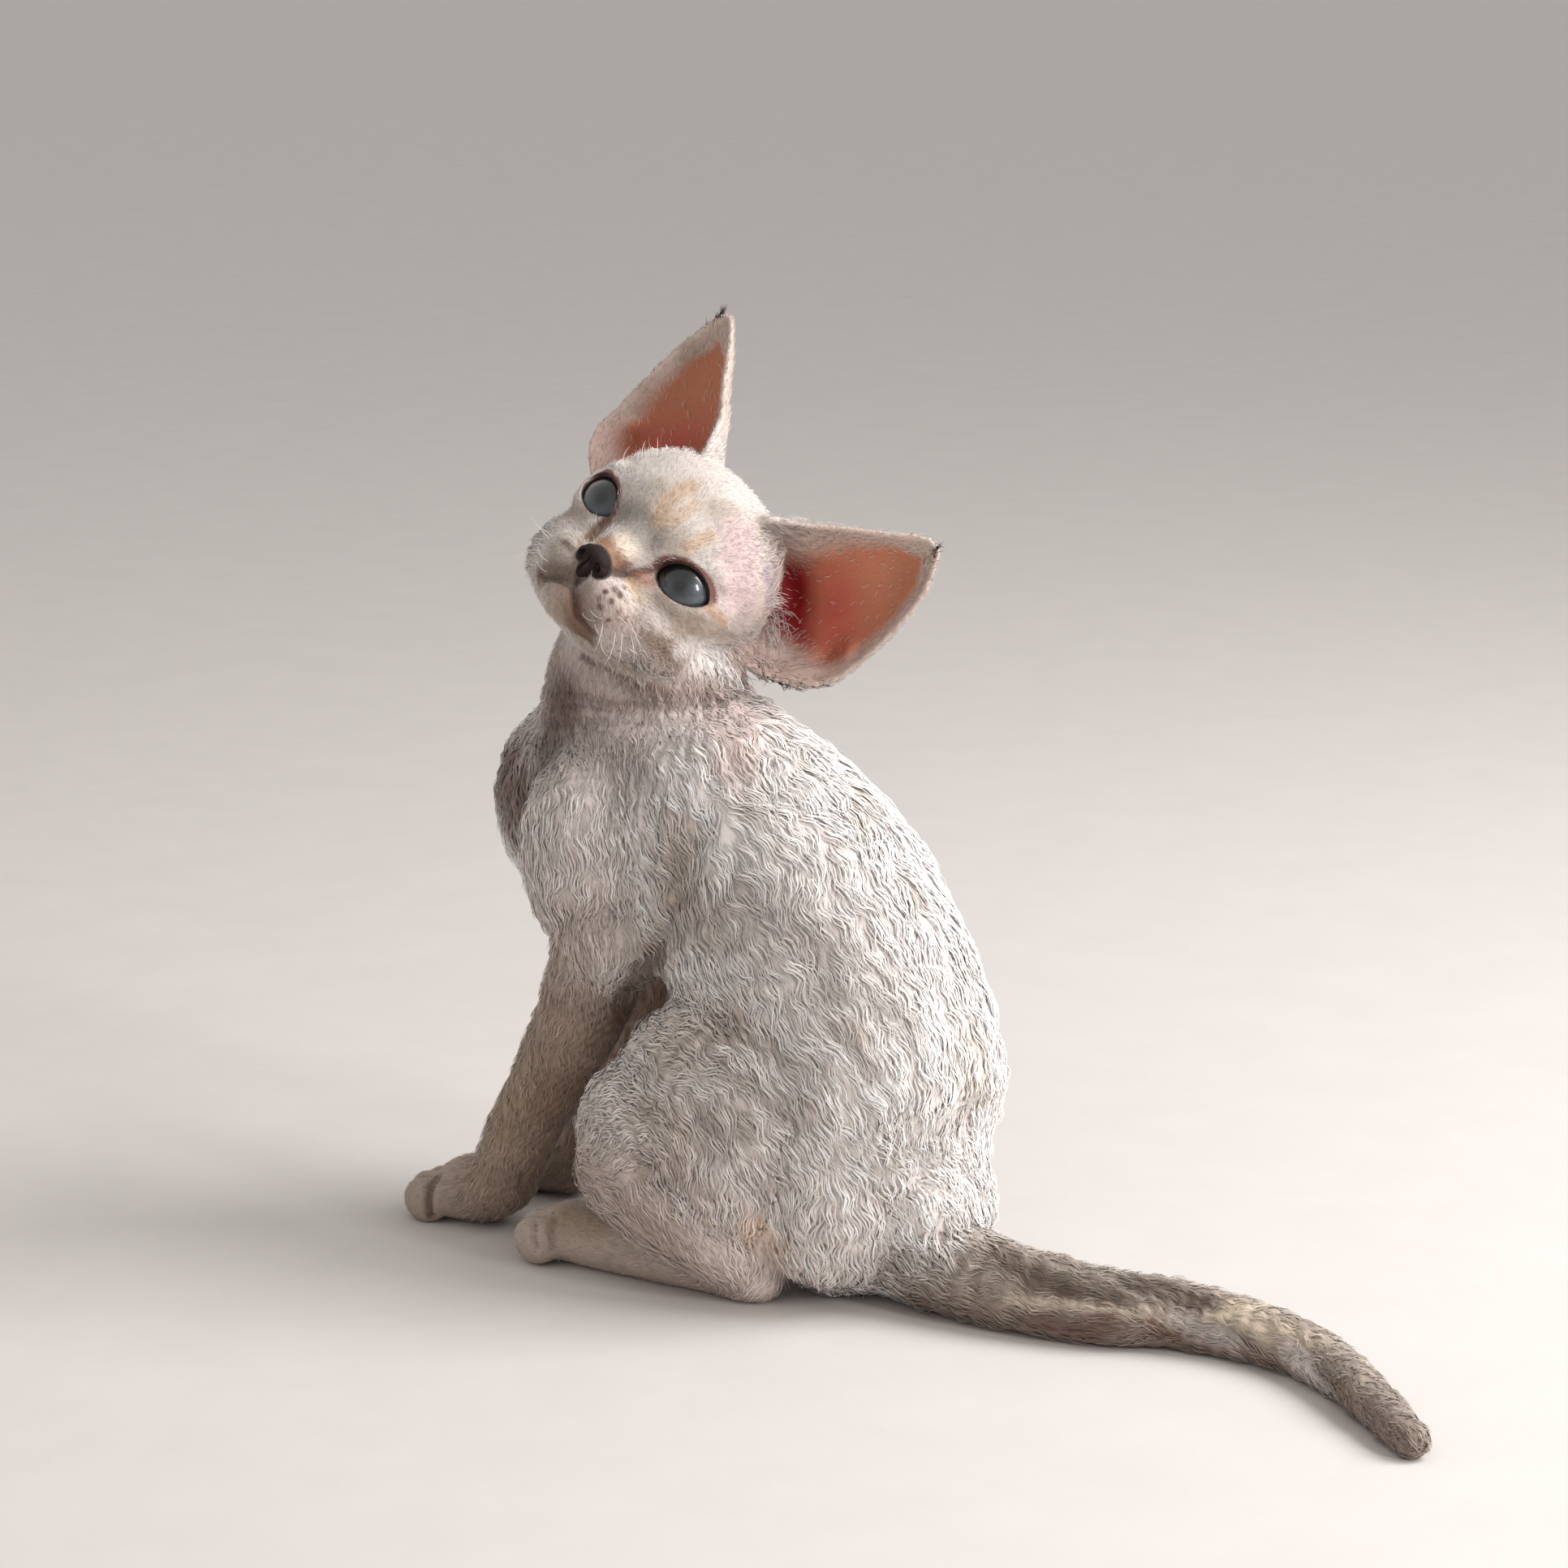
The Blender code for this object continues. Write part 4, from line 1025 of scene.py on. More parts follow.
# Soft marks, painted shade and painted light among them: name, pixels of the photo along each, half width, colour,
# strength, and whether it is on both sides
MARKS = (
    ("bridge_orange", ((744, 668), (752, 680), (760, 693)), 0.0023, (150, 104, 70), 0.90, False),
    ("bridge_orange_side", ((765, 688), (770, 698)), 0.0015, (126, 84, 58), 0.80, False),
    ("bridge_cream", ((768, 664), (776, 678)), 0.0020, (232, 212, 190), 0.70, False),
    ("nose_right_brown", ((749, 641), (740, 650), (731, 658), (724, 666)), 0.0016, (112, 82, 60), 0.90, False),
    ("between_eyes", ((768, 632), (782, 646), (800, 664)), 0.0030, (136, 126, 119), 0.85, False),
    ("between_eyes_upper", ((786, 628), (800, 642), (814, 652)), 0.0020, (158, 148, 140), 0.70, False),
    ("brow_grey", ((770, 604), (786, 606), (800, 600)), 0.0022, (176, 164, 154), 0.55, False),
    ("forehead_tan", ((812, 640), (820, 622), (834, 606), (852, 601)), 0.0019, (200, 168, 138), 0.80, False),
    ("forehead_tan_low", ((828, 644), (842, 632), (856, 622)), 0.0015, (206, 176, 148), 0.65, False),
    ("forehead_tan_side", ((845, 676), (858, 668), (874, 661)), 0.0014, (206, 174, 146), 0.80, False),
    ("tear_line_left", ((812, 698), (800, 702), (788, 705), (778, 708)), 0.0011, (84, 48, 38), 0.95, False),
    ("tear_patch_left", ((800, 716), (790, 712), (780, 716)), 0.0017, (178, 128, 108), 0.75, False),
    ("tear_line_right", ((748, 640), (741, 646)), 0.0011, (84, 56, 42), 0.90, False),
    ("nostril_spur", ((744, 699), (756, 706), (768, 708)), 0.0012, (70, 44, 36), 0.95, False),
    ("nose_edge", ((716, 668), (712, 684), (711, 700)), 0.0009, (120, 92, 74), 0.70, False),
    ("cleft", ((713, 708), (711, 718)), 0.0010, (60, 36, 30), 0.90, False),
    ("pad_tan_left", ((776, 722), (784, 732)), 0.0018, (206, 180, 148), 0.75, False),
    ("pad_beige", ((738, 734), (752, 750), (766, 766)), 0.0044, (188, 164, 152), 0.60, False),
    ("cheek_shade", ((812, 804), (840, 816), (866, 824)), 0.0034, (168, 142, 130), 0.60, False),
    ("pad_spot_1", ((769, 723),), 0.0007, (84, 60, 44), 1.0, False),
    ("pad_spot_2", ((758, 726),), 0.0008, (80, 56, 42), 1.0, False),
    ("pad_spot_3", ((764, 733),), 0.0009, (92, 68, 50), 1.0, False),
    ("pad_spot_4", ((746, 729),), 0.0007, (80, 56, 42), 1.0, False),
    ("pad_spot_5", ((753, 741),), 0.0008, (88, 58, 46), 1.0, False),
    ("pad_spot_6", ((739, 748),), 0.0008, (88, 54, 44), 1.0, False),
    ("pad_spot_7", ((763, 753),), 0.0008, (110, 72, 60), 0.9, False),
    ("pad_spot_8", ((738, 737),), 0.0007, (96, 66, 52), 0.9, False),
    ("pad_spot_9", ((749, 764),), 0.0007, (110, 72, 62), 0.9, False),
    ("pad_spot_10", ((771, 763),), 0.0008, (140, 98, 88), 0.8, False),
    ("pad_front_grey", ((722, 728), (724, 744), (729, 762)), 0.0022, (152, 134, 120), 0.75, False),
    ("lip_shadow_left", ((706, 742), (710, 764), (720, 784)), 0.0024, (92, 56, 44), 0.90, False),
    ("pad_right_grey", ((700, 660), (690, 676), (684, 692)), 0.0034, (150, 134, 120), 0.60, False),
    ("pad_right_spots", ((696, 668), (704, 676)), 0.0009, (96, 76, 60), 0.80, False),
    ("muzzle_right_dark", ((696, 706), (682, 708), (670, 708)), 0.0028, (112, 88, 68), 0.80, False),
    ("chin_shade", ((694, 734), (700, 756), (714, 776)), 0.0040, (130, 100, 82), 0.75, False),
    ("chin_pale", ((680, 740), (684, 760)), 0.0024, (186, 168, 150), 0.60, False),
    ("jaw_shade", ((724, 796), (744, 812), (770, 826)), 0.0028, (176, 156, 140), 0.60, False),
    ("under_eye_left", ((812, 738), (832, 756), (856, 762)), 0.0018, (176, 158, 142), 0.70, False),
    ("under_eye_tan", ((836, 772), (852, 776)), 0.0020, (196, 170, 146), 0.60, False),
    ("cheek_stripe", ((796, 782), (816, 796), (836, 812)), 0.0020, (140, 114, 98), 0.80, False),
    ("cheek_white_1", ((838, 800), (852, 790)), 0.0022, (244, 236, 230), 0.80, False),
    ("cheek_white_2", ((868, 792), (880, 806)), 0.0018, (244, 236, 230), 0.70, False),
    ("cheek_brown", ((852, 812), (874, 822)), 0.0014, (150, 124, 106), 0.65, False),
    ("cheek_grey", ((856, 764), (880, 772), (896, 786)), 0.0016, (168, 146, 132), 0.65, False),
    ("cheek_stripe_back", ((868, 776), (888, 790), (908, 800)), 0.0020, (200, 180, 162), 0.55, False),
    ("eye_corner_left", ((872, 746), (884, 758), (892, 766)), 0.0013, (190, 154, 124), 0.80, False),
    ("under_eye_right", ((716, 640), (704, 630), (700, 612)), 0.0024, (168, 150, 136), 0.60, False),
    ("temple_pink", ((905, 650), (900, 690), (902, 740)), 0.0030, (206, 176, 174), 0.75, False),
    ("temple_pink_back", ((922, 660), (924, 700), (922, 750)), 0.0026, (206, 178, 180), 0.65, False),
    ("jaw_white", ((860, 806), (896, 812), (924, 806), (944, 800)), 0.0040, (244, 238, 233), 0.90, True),
    ("ear_base_grey", ((960, 668), (976, 684), (988, 700)), 0.0030, (196, 174, 164), 0.60, True),
    ("temple_violet", ((944, 700), (947, 720), (946, 740)), 0.0015, (150, 140, 164), 0.55, False),
    ("heel_orange", ((925, 1508), (945, 1516)), 0.0036, (234, 196, 166), 0.70, True),
    # The heel's pale fur, with painted light where the heel lies in shade
    ("heel_pale_painted_light", ((895, 1545), (935, 1560)), 0.0070, (250, 232, 222), 0.85, True),
    # Painted shade in the grooves between the toes
    ("toe_gap_shade", ((538, 1452), (530, 1464), (528, 1480), (530, 1498)), 0.0009, (96, 72, 60), 0.70, True),
    ("toe_gap_shade_front", ((500, 1458), (497, 1474), (499, 1492)), 0.0008, (96, 72, 60), 0.60, True),
    ("instep_brown", ((700, 1500), (740, 1505)), 0.0046, (150, 126, 100), 0.65, True),
    ("elbow_shade", ((744, 1235), (752, 1275)), 0.0060, (150, 126, 108), 0.60, True),
    ("foreleg_tan", ((640, 1290), (628, 1330), (616, 1370)), 0.0060, (176, 150, 124), 0.50, True),
    ("wrist_brown", ((690, 1330), (672, 1360)), 0.0050, (140, 110, 90), 0.55, True),
    ("flank_grey", ((950, 1120), (1000, 1160), (1040, 1200)), 0.0120, (206, 194, 187), 0.45, True),
    ("flank_tan", ((840, 1040), (850, 1090), (870, 1130)), 0.0046, (178, 158, 138), 0.50, True),
    ("nape_pink", ((900, 880), (905, 905), (900, 935)), 0.0050, (220, 192, 182), 0.65, False),
    ("thigh_tan", ((815, 1300), (850, 1250), (900, 1240)), 0.0050, (190, 170, 150), 0.45, True),
    ("knee_tan", ((790, 1370), (830, 1390)), 0.0050, (196, 174, 150), 0.45, True),
    ("rump_tan", ((1185, 1280), (1195, 1320)), 0.0050, (236, 222, 208), 0.40, True),
    # Darker fur of the breast and the neck's side, deepened with painted shade on the side turned from the light
    ("breast_brown_shade", ((622, 915), (630, 950), (640, 985)), 0.0080, (104, 72, 60), 0.85, False),
    ("neck_side_shade", ((690, 862), (688, 890), (680, 915)), 0.0064, (92, 66, 57), 0.80, False),
    # Painted shade along the fold under the jaw and the folds round the neck
    ("jaw_fold_shade", ((720, 808), (746, 824), (782, 843), (830, 853), (880, 857)), 0.0012, (112, 86, 76),
     0.85, False),
    ("neck_fold_shade_upper", ((696, 862), (760, 868), (830, 867), (896, 860)), 0.0009, (104, 76, 68), 0.75, False),
    ("neck_fold_shade_lower", ((690, 884), (740, 888), (800, 884)), 0.0008, (118, 92, 84), 0.60, False),
    ("neck_pale", ((760, 905), (830, 895), (890, 885)), 0.0040, (214, 200, 194), 0.60, False),
    ("shoulder_grey", ((690, 930), (730, 925), (780, 940)), 0.0050, (176, 160, 154), 0.55, False),
    # Painted shade behind the upper arm, in its crease, and in the fold along the flank
    ("arm_shade", ((825, 1010), (822, 1060), (828, 1110), (815, 1160)), 0.0034, (168, 146, 130), 0.60, True),
    ("arm_crease_shade", ((815, 1160), (795, 1195), (778, 1225), (762, 1250)), 0.0026, (118, 92, 76), 0.75, True),
    ("flank_fold_shade", ((850, 1110), (900, 1100), (950, 1120), (1000, 1150)), 0.0036, (186, 170, 164), 0.55, True),
    ("swirl_dark", ((860, 1262), (900, 1256), (935, 1266), (955, 1290)), 0.0017, (162, 144, 130), 0.60, True),
    ("swirl_dark_low", ((870, 1300), (905, 1310), (930, 1330)), 0.0018, (160, 142, 128), 0.60, True),
    ("thigh_band_1", ((950, 1350), (985, 1360), (1020, 1352)), 0.0020, (164, 146, 130), 0.60, True),
    ("thigh_band_2", ((860, 1360), (880, 1372), (905, 1376)), 0.0022, (158, 140, 126), 0.55, True),
    ("thigh_band_3", ((1020, 1240), (1050, 1262), (1062, 1300)), 0.0020, (180, 164, 150), 0.50, True),
    ("knee_band", ((790, 1420), (830, 1432), (870, 1450)), 0.0018, (170, 146, 132), 0.50, True),
    ("tail_dark_1", ((1228, 1540), (1262, 1566), (1300, 1590)), 0.0026, (92, 74, 58), 0.80, False),
    ("tail_dark_2", ((1310, 1586), (1340, 1594), (1370, 1600)), 0.0022, (88, 70, 56), 0.80, False),
    ("tail_dark_3", ((1384, 1576), (1430, 1588), (1470, 1600), (1502, 1608)), 0.0024, (86, 68, 56), 0.80, False),
    ("tail_dark_cross", ((1502, 1606), (1518, 1626), (1528, 1648)), 0.0013, (100, 82, 70), 0.70, False),
    ("tail_brown_1", ((1262, 1622), (1300, 1634), (1340, 1640)), 0.0022, (112, 84, 68), 0.70, False),
    ("tail_brown_2", ((1346, 1616), (1356, 1632)), 0.0020, (110, 78, 66), 0.75, False),
    ("tail_brown_3", ((1408, 1632), (1428, 1640), (1446, 1646)), 0.0020, (116, 84, 66), 0.75, False),
    ("tail_light_ridge", ((1242, 1600), (1300, 1606), (1370, 1614), (1440, 1618), (1500, 1622)), 0.0011,
     (214, 196, 176), 0.85, False),
    ("tail_light_low", ((1450, 1630), (1480, 1640), (1512, 1650)), 0.0024, (206, 194, 188), 0.75, False),
    ("tail_cream", ((1520, 1610), (1560, 1634), (1600, 1662)), 0.0034, (226, 206, 182), 0.80, False),
    ("tail_blue_pale", ((1585, 1666), (1610, 1688), (1632, 1704)), 0.0026, (222, 212, 208), 0.80, False),
    ("tail_dark_streak", ((1622, 1684), (1642, 1704), (1662, 1724)), 0.0016, (120, 100, 82), 0.70, False),
)
# Colours of the lids, the ears' insides, the bands of tail and legs, the painted shade under the tail, the lips and
# the skin under the nose leather
LID_BAND = (106, 60, 45)
LID_EDGE = (40, 22, 20)
# The ears' insides: their own pinkish skin, with the painted glow of light shining through the thin ear
EAR_SKIN_GLOW = (194, 124, 92)
EAR_DEEP_GLOW = (146, 8, 14)
EAR_ROSE_GLOW = (188, 84, 66)
EAR_HOLLOW_GLOW = (196, 104, 66)
EAR_FLAP = (214, 182, 170)
TAIL_BAND = (92, 78, 66)
TAIL_UNDER_SHADE = (100, 76, 64)
LEG_BAND = (152, 130, 112)
LIP_LINE = (58, 32, 28)
NOSE_DARK = (30, 15, 13)
NOSE_EDGE = 0.0006
# Waves of the bands on tail and legs, and heights of the tail's bands and of the painted shade on its underside
TAIL_WAVES = 430
LEG_WAVES = 560
TAIL_TOP = 0.0045
TAIL_SHADE_HEIGHT = 0.0110
TAIL_FADE = 0.006
# Points between two pixels of a mark, a mark's even middle as a share of its width, and how it fades beyond
MARK_STEPS = 6
MARK_MIDDLE = 0.45
MARK_FADE = 1.6
# Painted shade at a lock's border, painted highlight on a wave's crest, and variety of the tufts
LOCK_BORDER_SHADE = 0.24
CREST_HIGHLIGHT = 0.08
TUFT_VARIETY = 0.05
# Depth over which the lids' colours fade, and the height that parts marks of the head from those of the body
LID_ZONE = 0.006
HEAD_FLOOR = 0.14


def linear(colour):
    """sRGB from 0 to 255 as linear light."""
    c = np.asarray(colour) / 255
    return np.where(c <= 0.04045, c / 12.92, ((c + 0.055) / 1.055) ** 2.4)


def pixel_ray(pixel):
    """Start and direction, in the design frame, of the camera's ray through a pixel of the photo."""
    right, up, back = view_axes()
    start = view_target() + back * VIEW_DISTANCE
    scale = VIEW_HALF_WIDTH / VIEW_DISTANCE / 966
    return start, (right * (pixel[0] - 966) * scale + up * (966 - pixel[1]) * scale - back).normalized()


def seen_line(tree, pixels, steps):
    """Places on the skin between each pixel of a line on the photo and the next, and one where the two are alike."""
    line = []
    for one, two in zip(pixels, pixels[1:]):
        count = steps if one != two else 1
        for step in range(count):
            pixel = (one[0] + (two[0] - one[0]) * step / count, one[1] + (two[1] - one[1]) * step / count)
            hit = tree.ray_cast(*pixel_ray(pixel))[0]
            if hit is not None:
                line.append(np.array(hit))
    return line


def found_marks(tree):
    """Each mark as places on the skin, and its mirror image where the other side has it too."""
    rows = []
    flip = np.array((-1, 1, 1))
    for _, pixels, width, colour, strength, mirrored in MARKS:
        line = seen_line(tree, (*pixels, pixels[-1]), MARK_STEPS)
        if not line:
            continue
        rows.append((line, width, linear(colour), strength))
        if mirrored:
            on_head = line[0][2] > HEAD_FLOOR
            other = [placed(in_head([place])[0] * flip) if on_head else place * flip for place in line]
            rows.append((other, width, linear(colour), strength))
    return rows


def blended(colours, colour, weights):
    """The colours mixed with another one, by a weight from 0 to 1 for each."""
    weights = np.clip(weights, 0, 1)[:, None]
    return colours * (1 - weights) + np.asarray(colour) * weights


def lid_places(points):
    """Each point's distance and height from the middle of its eye's opening, as shares of it, and its nearness."""
    head = in_head(points)
    side = np.where(head[:, 0] < 0, -1.0, 1.0)
    local = head * np.stack([side, np.ones_like(side), np.ones_like(side)], axis=1) - np.array(EYE_CENTRE)
    turned = np.array((Matrix.Rotation(EYE_OUTWARD, 3, "Z") @ Matrix.Rotation(-EYE_SLANT, 3, "Y")))
    local = local @ turned
    wide, high, low = EYE_OPENING
    tall = np.where(local[:, 2] > 0, high, low)
    ratio = np.hypot(local[:, 0] / wide, local[:, 2] / tall)
    near = np.clip(1 - (np.linalg.norm(local, axis=1) - EYE_RADIUS) / LID_ZONE, 0, 1)
    return ratio, local[:, 2] / tall, near * (local[:, 1] < 0)


def marked(points, colours, marks, shares):
    """The colours with the kitten's markings laid over them, and with the marks of painted shade and painted light.
    """
    colours = tail_and_legs(points, colours, shares)
    for line, width, colour, weight in marks:
        line = np.array(line)
        middle = np.mean(line, axis=0)
        near = np.linalg.norm(points - middle, axis=1) < 3 * width + np.linalg.norm(line - middle, axis=1).max()
        gap = line_gap(points[near], line)
        share = weight * np.exp(-np.maximum(gap / width - MARK_MIDDLE, 0) ** 2 * MARK_FADE)
        colours[near] = blended(colours[near], colour, share)
    return colours


def tail_and_legs(points, colours, shares):
    """The colours with the bands of the tail and the legs, and the painted shade on the tail's underside, laid over
    them.
    """
    tail = share_of(shares, "tail")
    along = points[:, 1] + 0.012 * np.sin(points[:, 1] * 90)
    bands = np.clip(np.sin(along * TAIL_WAVES) * 1.6 + 0.4, 0, 1)
    top = np.clip((points[:, 2] - TAIL_TOP) / TAIL_FADE, 0, 1)
    colours = blended(colours, linear(TAIL_BAND), tail * top * (0.15 + 0.35 * bands))
    # Painted shade on the tail's underside, below a height
    low = np.clip((TAIL_SHADE_HEIGHT - points[:, 2]) / TAIL_FADE, 0, 1)
    colours = blended(colours, linear(TAIL_UNDER_SHADE), tail * low * 0.65)
    leg = share_of(shares, "foreleg") + 0.7 * share_of(shares, "shank")
    rings = np.clip(np.sin(points[:, 2] * LEG_WAVES + 2 * np.sin(points[:, 1] * 150)) * 1.5, 0, 1)
    return blended(colours, linear(LEG_BAND), leg * rings * 0.40)


def parting_shares(points):
    """How much each point lies in a parting of the coat."""
    return np.clip(soft_noise(points, PARTING_GRAIN, PARTING_SEED) * 2.2 - 0.4, 0, 1)


def tuft_colours(points, shares, marks, ears, tones, borders, angles, rng):
    """Colour of each tuft at its stations: darker at the root, with painted shade at its lock's border and a painted
    highlight on the crests.
    """
    tips = shares @ linear([TIP_COLOURS[name] for name in REGIONS])
    roots = shares @ linear([ROOT_COLOURS[name] for name in REGIONS])
    partings = parting_shares(points)
    tips = marked(points, blended(tips, linear(PARTING), partings * 0.30), marks, shares)
    roots = marked(points, blended(roots, linear(PARTING), partings * 0.75), marks, shares)
    flap = ears.flap(points)
    tips = blended(tips, linear(EAR_FLAP), flap * 0.7)
    roots = blended(roots, linear(EAR_FLAP) * 0.7, flap * 0.7)
    vary = (1 + TUFT_VARIETY * rng.standard_normal(len(points))) * tones * (1.05 - LOCK_BORDER_SHADE * borders**2)
    light = vary[:, None] * (1 + CREST_HIGHLIGHT * np.cos(angles))
    share = np.linspace(0, 1, angles.shape[1])[None, :, None]
    mix = np.clip(share * 1.6, 0, 1)
    return np.clip((roots[:, None] * (1 - mix) + tips[:, None] * mix) * light[:, :, None], 0, 0.95)


# The ears' own places

# Size of the head with its ears, how near the leaf and how far forward a point of the ear's inside lies, and the
# edges of its fur, as places along the leaf and across it
EAR_ZONE = 0.085
EAR_NEAR = 0.0045
EAR_SKIN_NEAR = 0.004
EAR_FORWARD = 0.1
EAR_FUR_FADE = 0.30
EAR_INNER_FUR = ((0.0, -0.18), (0.12, -0.30), (0.28, -0.42), (0.40, -0.66), (0.60, -0.80), (0.78, -0.78), (0.93, 0.0))
EAR_OUTER_FUR = ((0.0, 0.45), (0.25, 0.55), (0.36, 0.72), (0.48, 0.88), (0.68, 0.88), (0.80, 0.72), (0.93, 0.0))


class EarMap:
    """Finds where a point of the skin lies on the leaf of its ear: across, along, and which way it faces."""

    def __init__(self, surface):
        self.skin = surface.tree
        self.turn = head_matrix().to_3x3()
        self.rows = []
        places = []
        for side in (1, -1):
            lines = ear_places(side)
            for i, line in enumerate(lines):
                for k, (place, s, t) in enumerate(line):
                    aside = Vector(line[min(k + 1, EAR_COLUMNS)][0]) - Vector(line[max(k - 1, 0)][0])
                    rise = Vector(lines[min(i + 1, len(lines) - 1)][k][0]) - Vector(lines[max(i - 1, 0)][k][0])
                    places.append(Vector(place))
                    self.rows.append((s, t, aside.cross(rise).normalized() * -side))
        self.tree = kdtree.KDTree(len(places))
        for k, place in enumerate(places):
            self.tree.insert(place, k)
        self.tree.balance()

    def at(self, points):
        """Rows of distance, across, along and how much it faces the back, for points of the design frame."""
        made = np.full((len(points), 4), 9.0)
        inside = in_head(points)
        for index in np.flatnonzero(np.linalg.norm(inside, axis=1) < EAR_ZONE):
            _, row, gap = self.tree.find(inside[index])
            s, t, normal = self.rows[row]
            facing = self.skin.find_nearest(points[index])[1] @ self.turn
            made[index] = (gap, s, t, facing.dot(normal))
        return made

    def bare(self, points):
        """How bare each point is: 1 inside the ears' hollow, 0 on their furred rims and backs."""
        gap, s, t, facing = self.at(points).T
        low = np.interp(t, *zip(*EAR_INNER_FUR))
        high = np.interp(t, *zip(*EAR_OUTER_FUR))
        inside = (gap < EAR_NEAR) & (facing < EAR_FORWARD)
        return inside * np.clip((s - low) / EAR_FUR_FADE, 0, 1) * np.clip((high - s) / EAR_FUR_FADE, 0, 1)

    def flap(self, points):
        """How much each point is on the pinkish flap at the ear's lower front."""
        gap, s, t, facing = self.at(points).T
        inside = (gap < EAR_SKIN_NEAR) & (facing < EAR_FORWARD)
        return inside * np.clip((s - 0.25) / 0.2, 0, 1) * np.clip((0.55 - t) / 0.1, 0, 1)


def ear_tints(colours, points, ears):
    """The colours with the bare, reddish inside of the ears laid over them: their own skin, with the painted glow of
    light shining through.
    """
    gap, s, t, facing = ears.at(points).T
    inside = ears.bare(points)
    colours = blended(colours, linear(EAR_FLAP), ears.flap(points) * 0.8)
    colours = blended(colours, linear(EAR_SKIN_GLOW), inside)
    rose = np.exp(-((s - 0.15) / 0.60) ** 2 - ((t - 0.44) / 0.15) ** 2)
    colours = blended(colours, linear(EAR_ROSE_GLOW), inside * rose * 0.9)
    deep = np.clip((0.37 - t) / 0.10, 0, 1) * np.clip((0.50 - np.abs(s - 0.12)) / 0.22, 0, 1)
    colours = blended(colours, linear(EAR_DEEP_GLOW), np.clip(inside * 1.4, 0, 1) * deep)
    place = np.exp(-((s - 0.56) / 0.09) ** 2 - ((t - 0.41) / 0.045) ** 2)
    hollow = (gap < EAR_SKIN_NEAR) * (facing < EAR_FORWARD) * place
    return blended(colours, linear(EAR_HOLLOW_GLOW), hollow)


# Materials

def node_tree(name):
    """A material's nodes and links, cleared but for its shader and output."""
    material = bpy.data.materials.new(name)
    material.use_nodes = True
    nodes, links = material.node_tree.nodes, material.node_tree.links
    return material, nodes, links, nodes["Principled BSDF"]


def noise_node(nodes, links, coordinates, scale, detail=3.0, roughness=0.55):
    """A noise texture's value."""
    made = nodes.new("ShaderNodeTexNoise")
    made.inputs["Scale"].default_value = scale
    made.inputs["Detail"].default_value = detail
    made.inputs["Roughness"].default_value = roughness
    links.new(coordinates, made.inputs["Vector"])
    return made.outputs["Fac"]


def ranged(nodes, links, value, low, high, to_low, to_high):
    """A value between low and high, as a value between two others."""
    made = nodes.new("ShaderNodeMapRange")
    for name, number in (("From Min", low), ("From Max", high), ("To Min", to_low), ("To Max", to_high)):
        made.inputs[name].default_value = number
    links.new(value, made.inputs["Value"])
    return made.outputs["Result"]


def times_grey(nodes, links, colour, factor):
    """The colour made lighter or darker by a number."""
    made = nodes.new("ShaderNodeVectorMath")
    made.operation = "SCALE"
    links.new(colour, made.inputs[0])
    links.new(factor, made.inputs["Scale"])
    return made.outputs["Vector"]


def bumped(nodes, links, height, distance, strength, shader):
    """Bumps the shader's normal by a height."""
    made = nodes.new("ShaderNodeBump")
    made.inputs["Distance"].default_value = distance
    made.inputs["Strength"].default_value = strength
    links.new(height, made.inputs["Height"])
    links.new(made.outputs["Normal"], shader.inputs["Normal"])


def tinted_material(name, roughness, mottle_scale, mottle, bump_scale, bump_depth, settings=()):
    """The tint held in the mesh, mottled by noise, with a fine bump."""
    material, nodes, links, shader = node_tree(name)
    tint = nodes.new("ShaderNodeAttribute")
    tint.attribute_name = "tint"
    where = nodes.new("ShaderNodeTexCoord").outputs["Object"]
    fine = noise_node(nodes, links, where, mottle_scale)
    grey = ranged(nodes, links, fine, 0.3, 0.7, 1 - mottle, 1 + mottle)
    links.new(times_grey(nodes, links, tint.outputs["Color"], grey), shader.inputs["Base Color"])
    height = noise_node(nodes, links, where, bump_scale, 4.0, 0.65)
    bumped(nodes, links, height, bump_depth, 0.8, shader)
    rough = ranged(nodes, links, fine, 0.3, 0.7, roughness - 0.06, roughness + 0.06)
    links.new(rough, shader.inputs["Roughness"])
    for socket, value in settings:
        shader.inputs[socket].default_value = value
    return material


# The iris from its middle to its rim, as a share of the eye's radius, with its colours
IRIS_STOPS = (
    (0.000, (3, 3, 4)),
    (0.115, (5, 5, 6)),
    (0.170, (30, 34, 39)),
    (0.300, (52, 60, 67)),
    (0.540, (72, 82, 88)),
    (0.720, (56, 63, 69)),
    (0.830, (32, 34, 38)),
    (0.900, (14, 12, 13)),
    (1.000, (34, 20, 17)),
)
# Shade of the upper lid on the eye, in the eye's own frame: its way, where along it the shade starts and ends, and
# how dark it gets
LID_WAY = (-0.62, 0.78, 0)
LID_SHADE = (-0.0003, 0.0024)
LID_DARK = 0.07


def vector_math(nodes, links, operation, value, other=None):
    """The outputs of a node that works on a vector, with another fixed one if the operation takes two."""
    made = nodes.new("ShaderNodeVectorMath")
    made.operation = operation
    if other is not None:
        made.inputs[1].default_value = other
    links.new(value, made.inputs[0])
    return made.outputs


def product(nodes, links, one, two):
    """Two numbers multiplied."""
    made = nodes.new("ShaderNodeMath")
    made.operation = "MULTIPLY"
    links.new(one, made.inputs[0])
    links.new(two, made.inputs[1])
    return made.outputs["Value"]


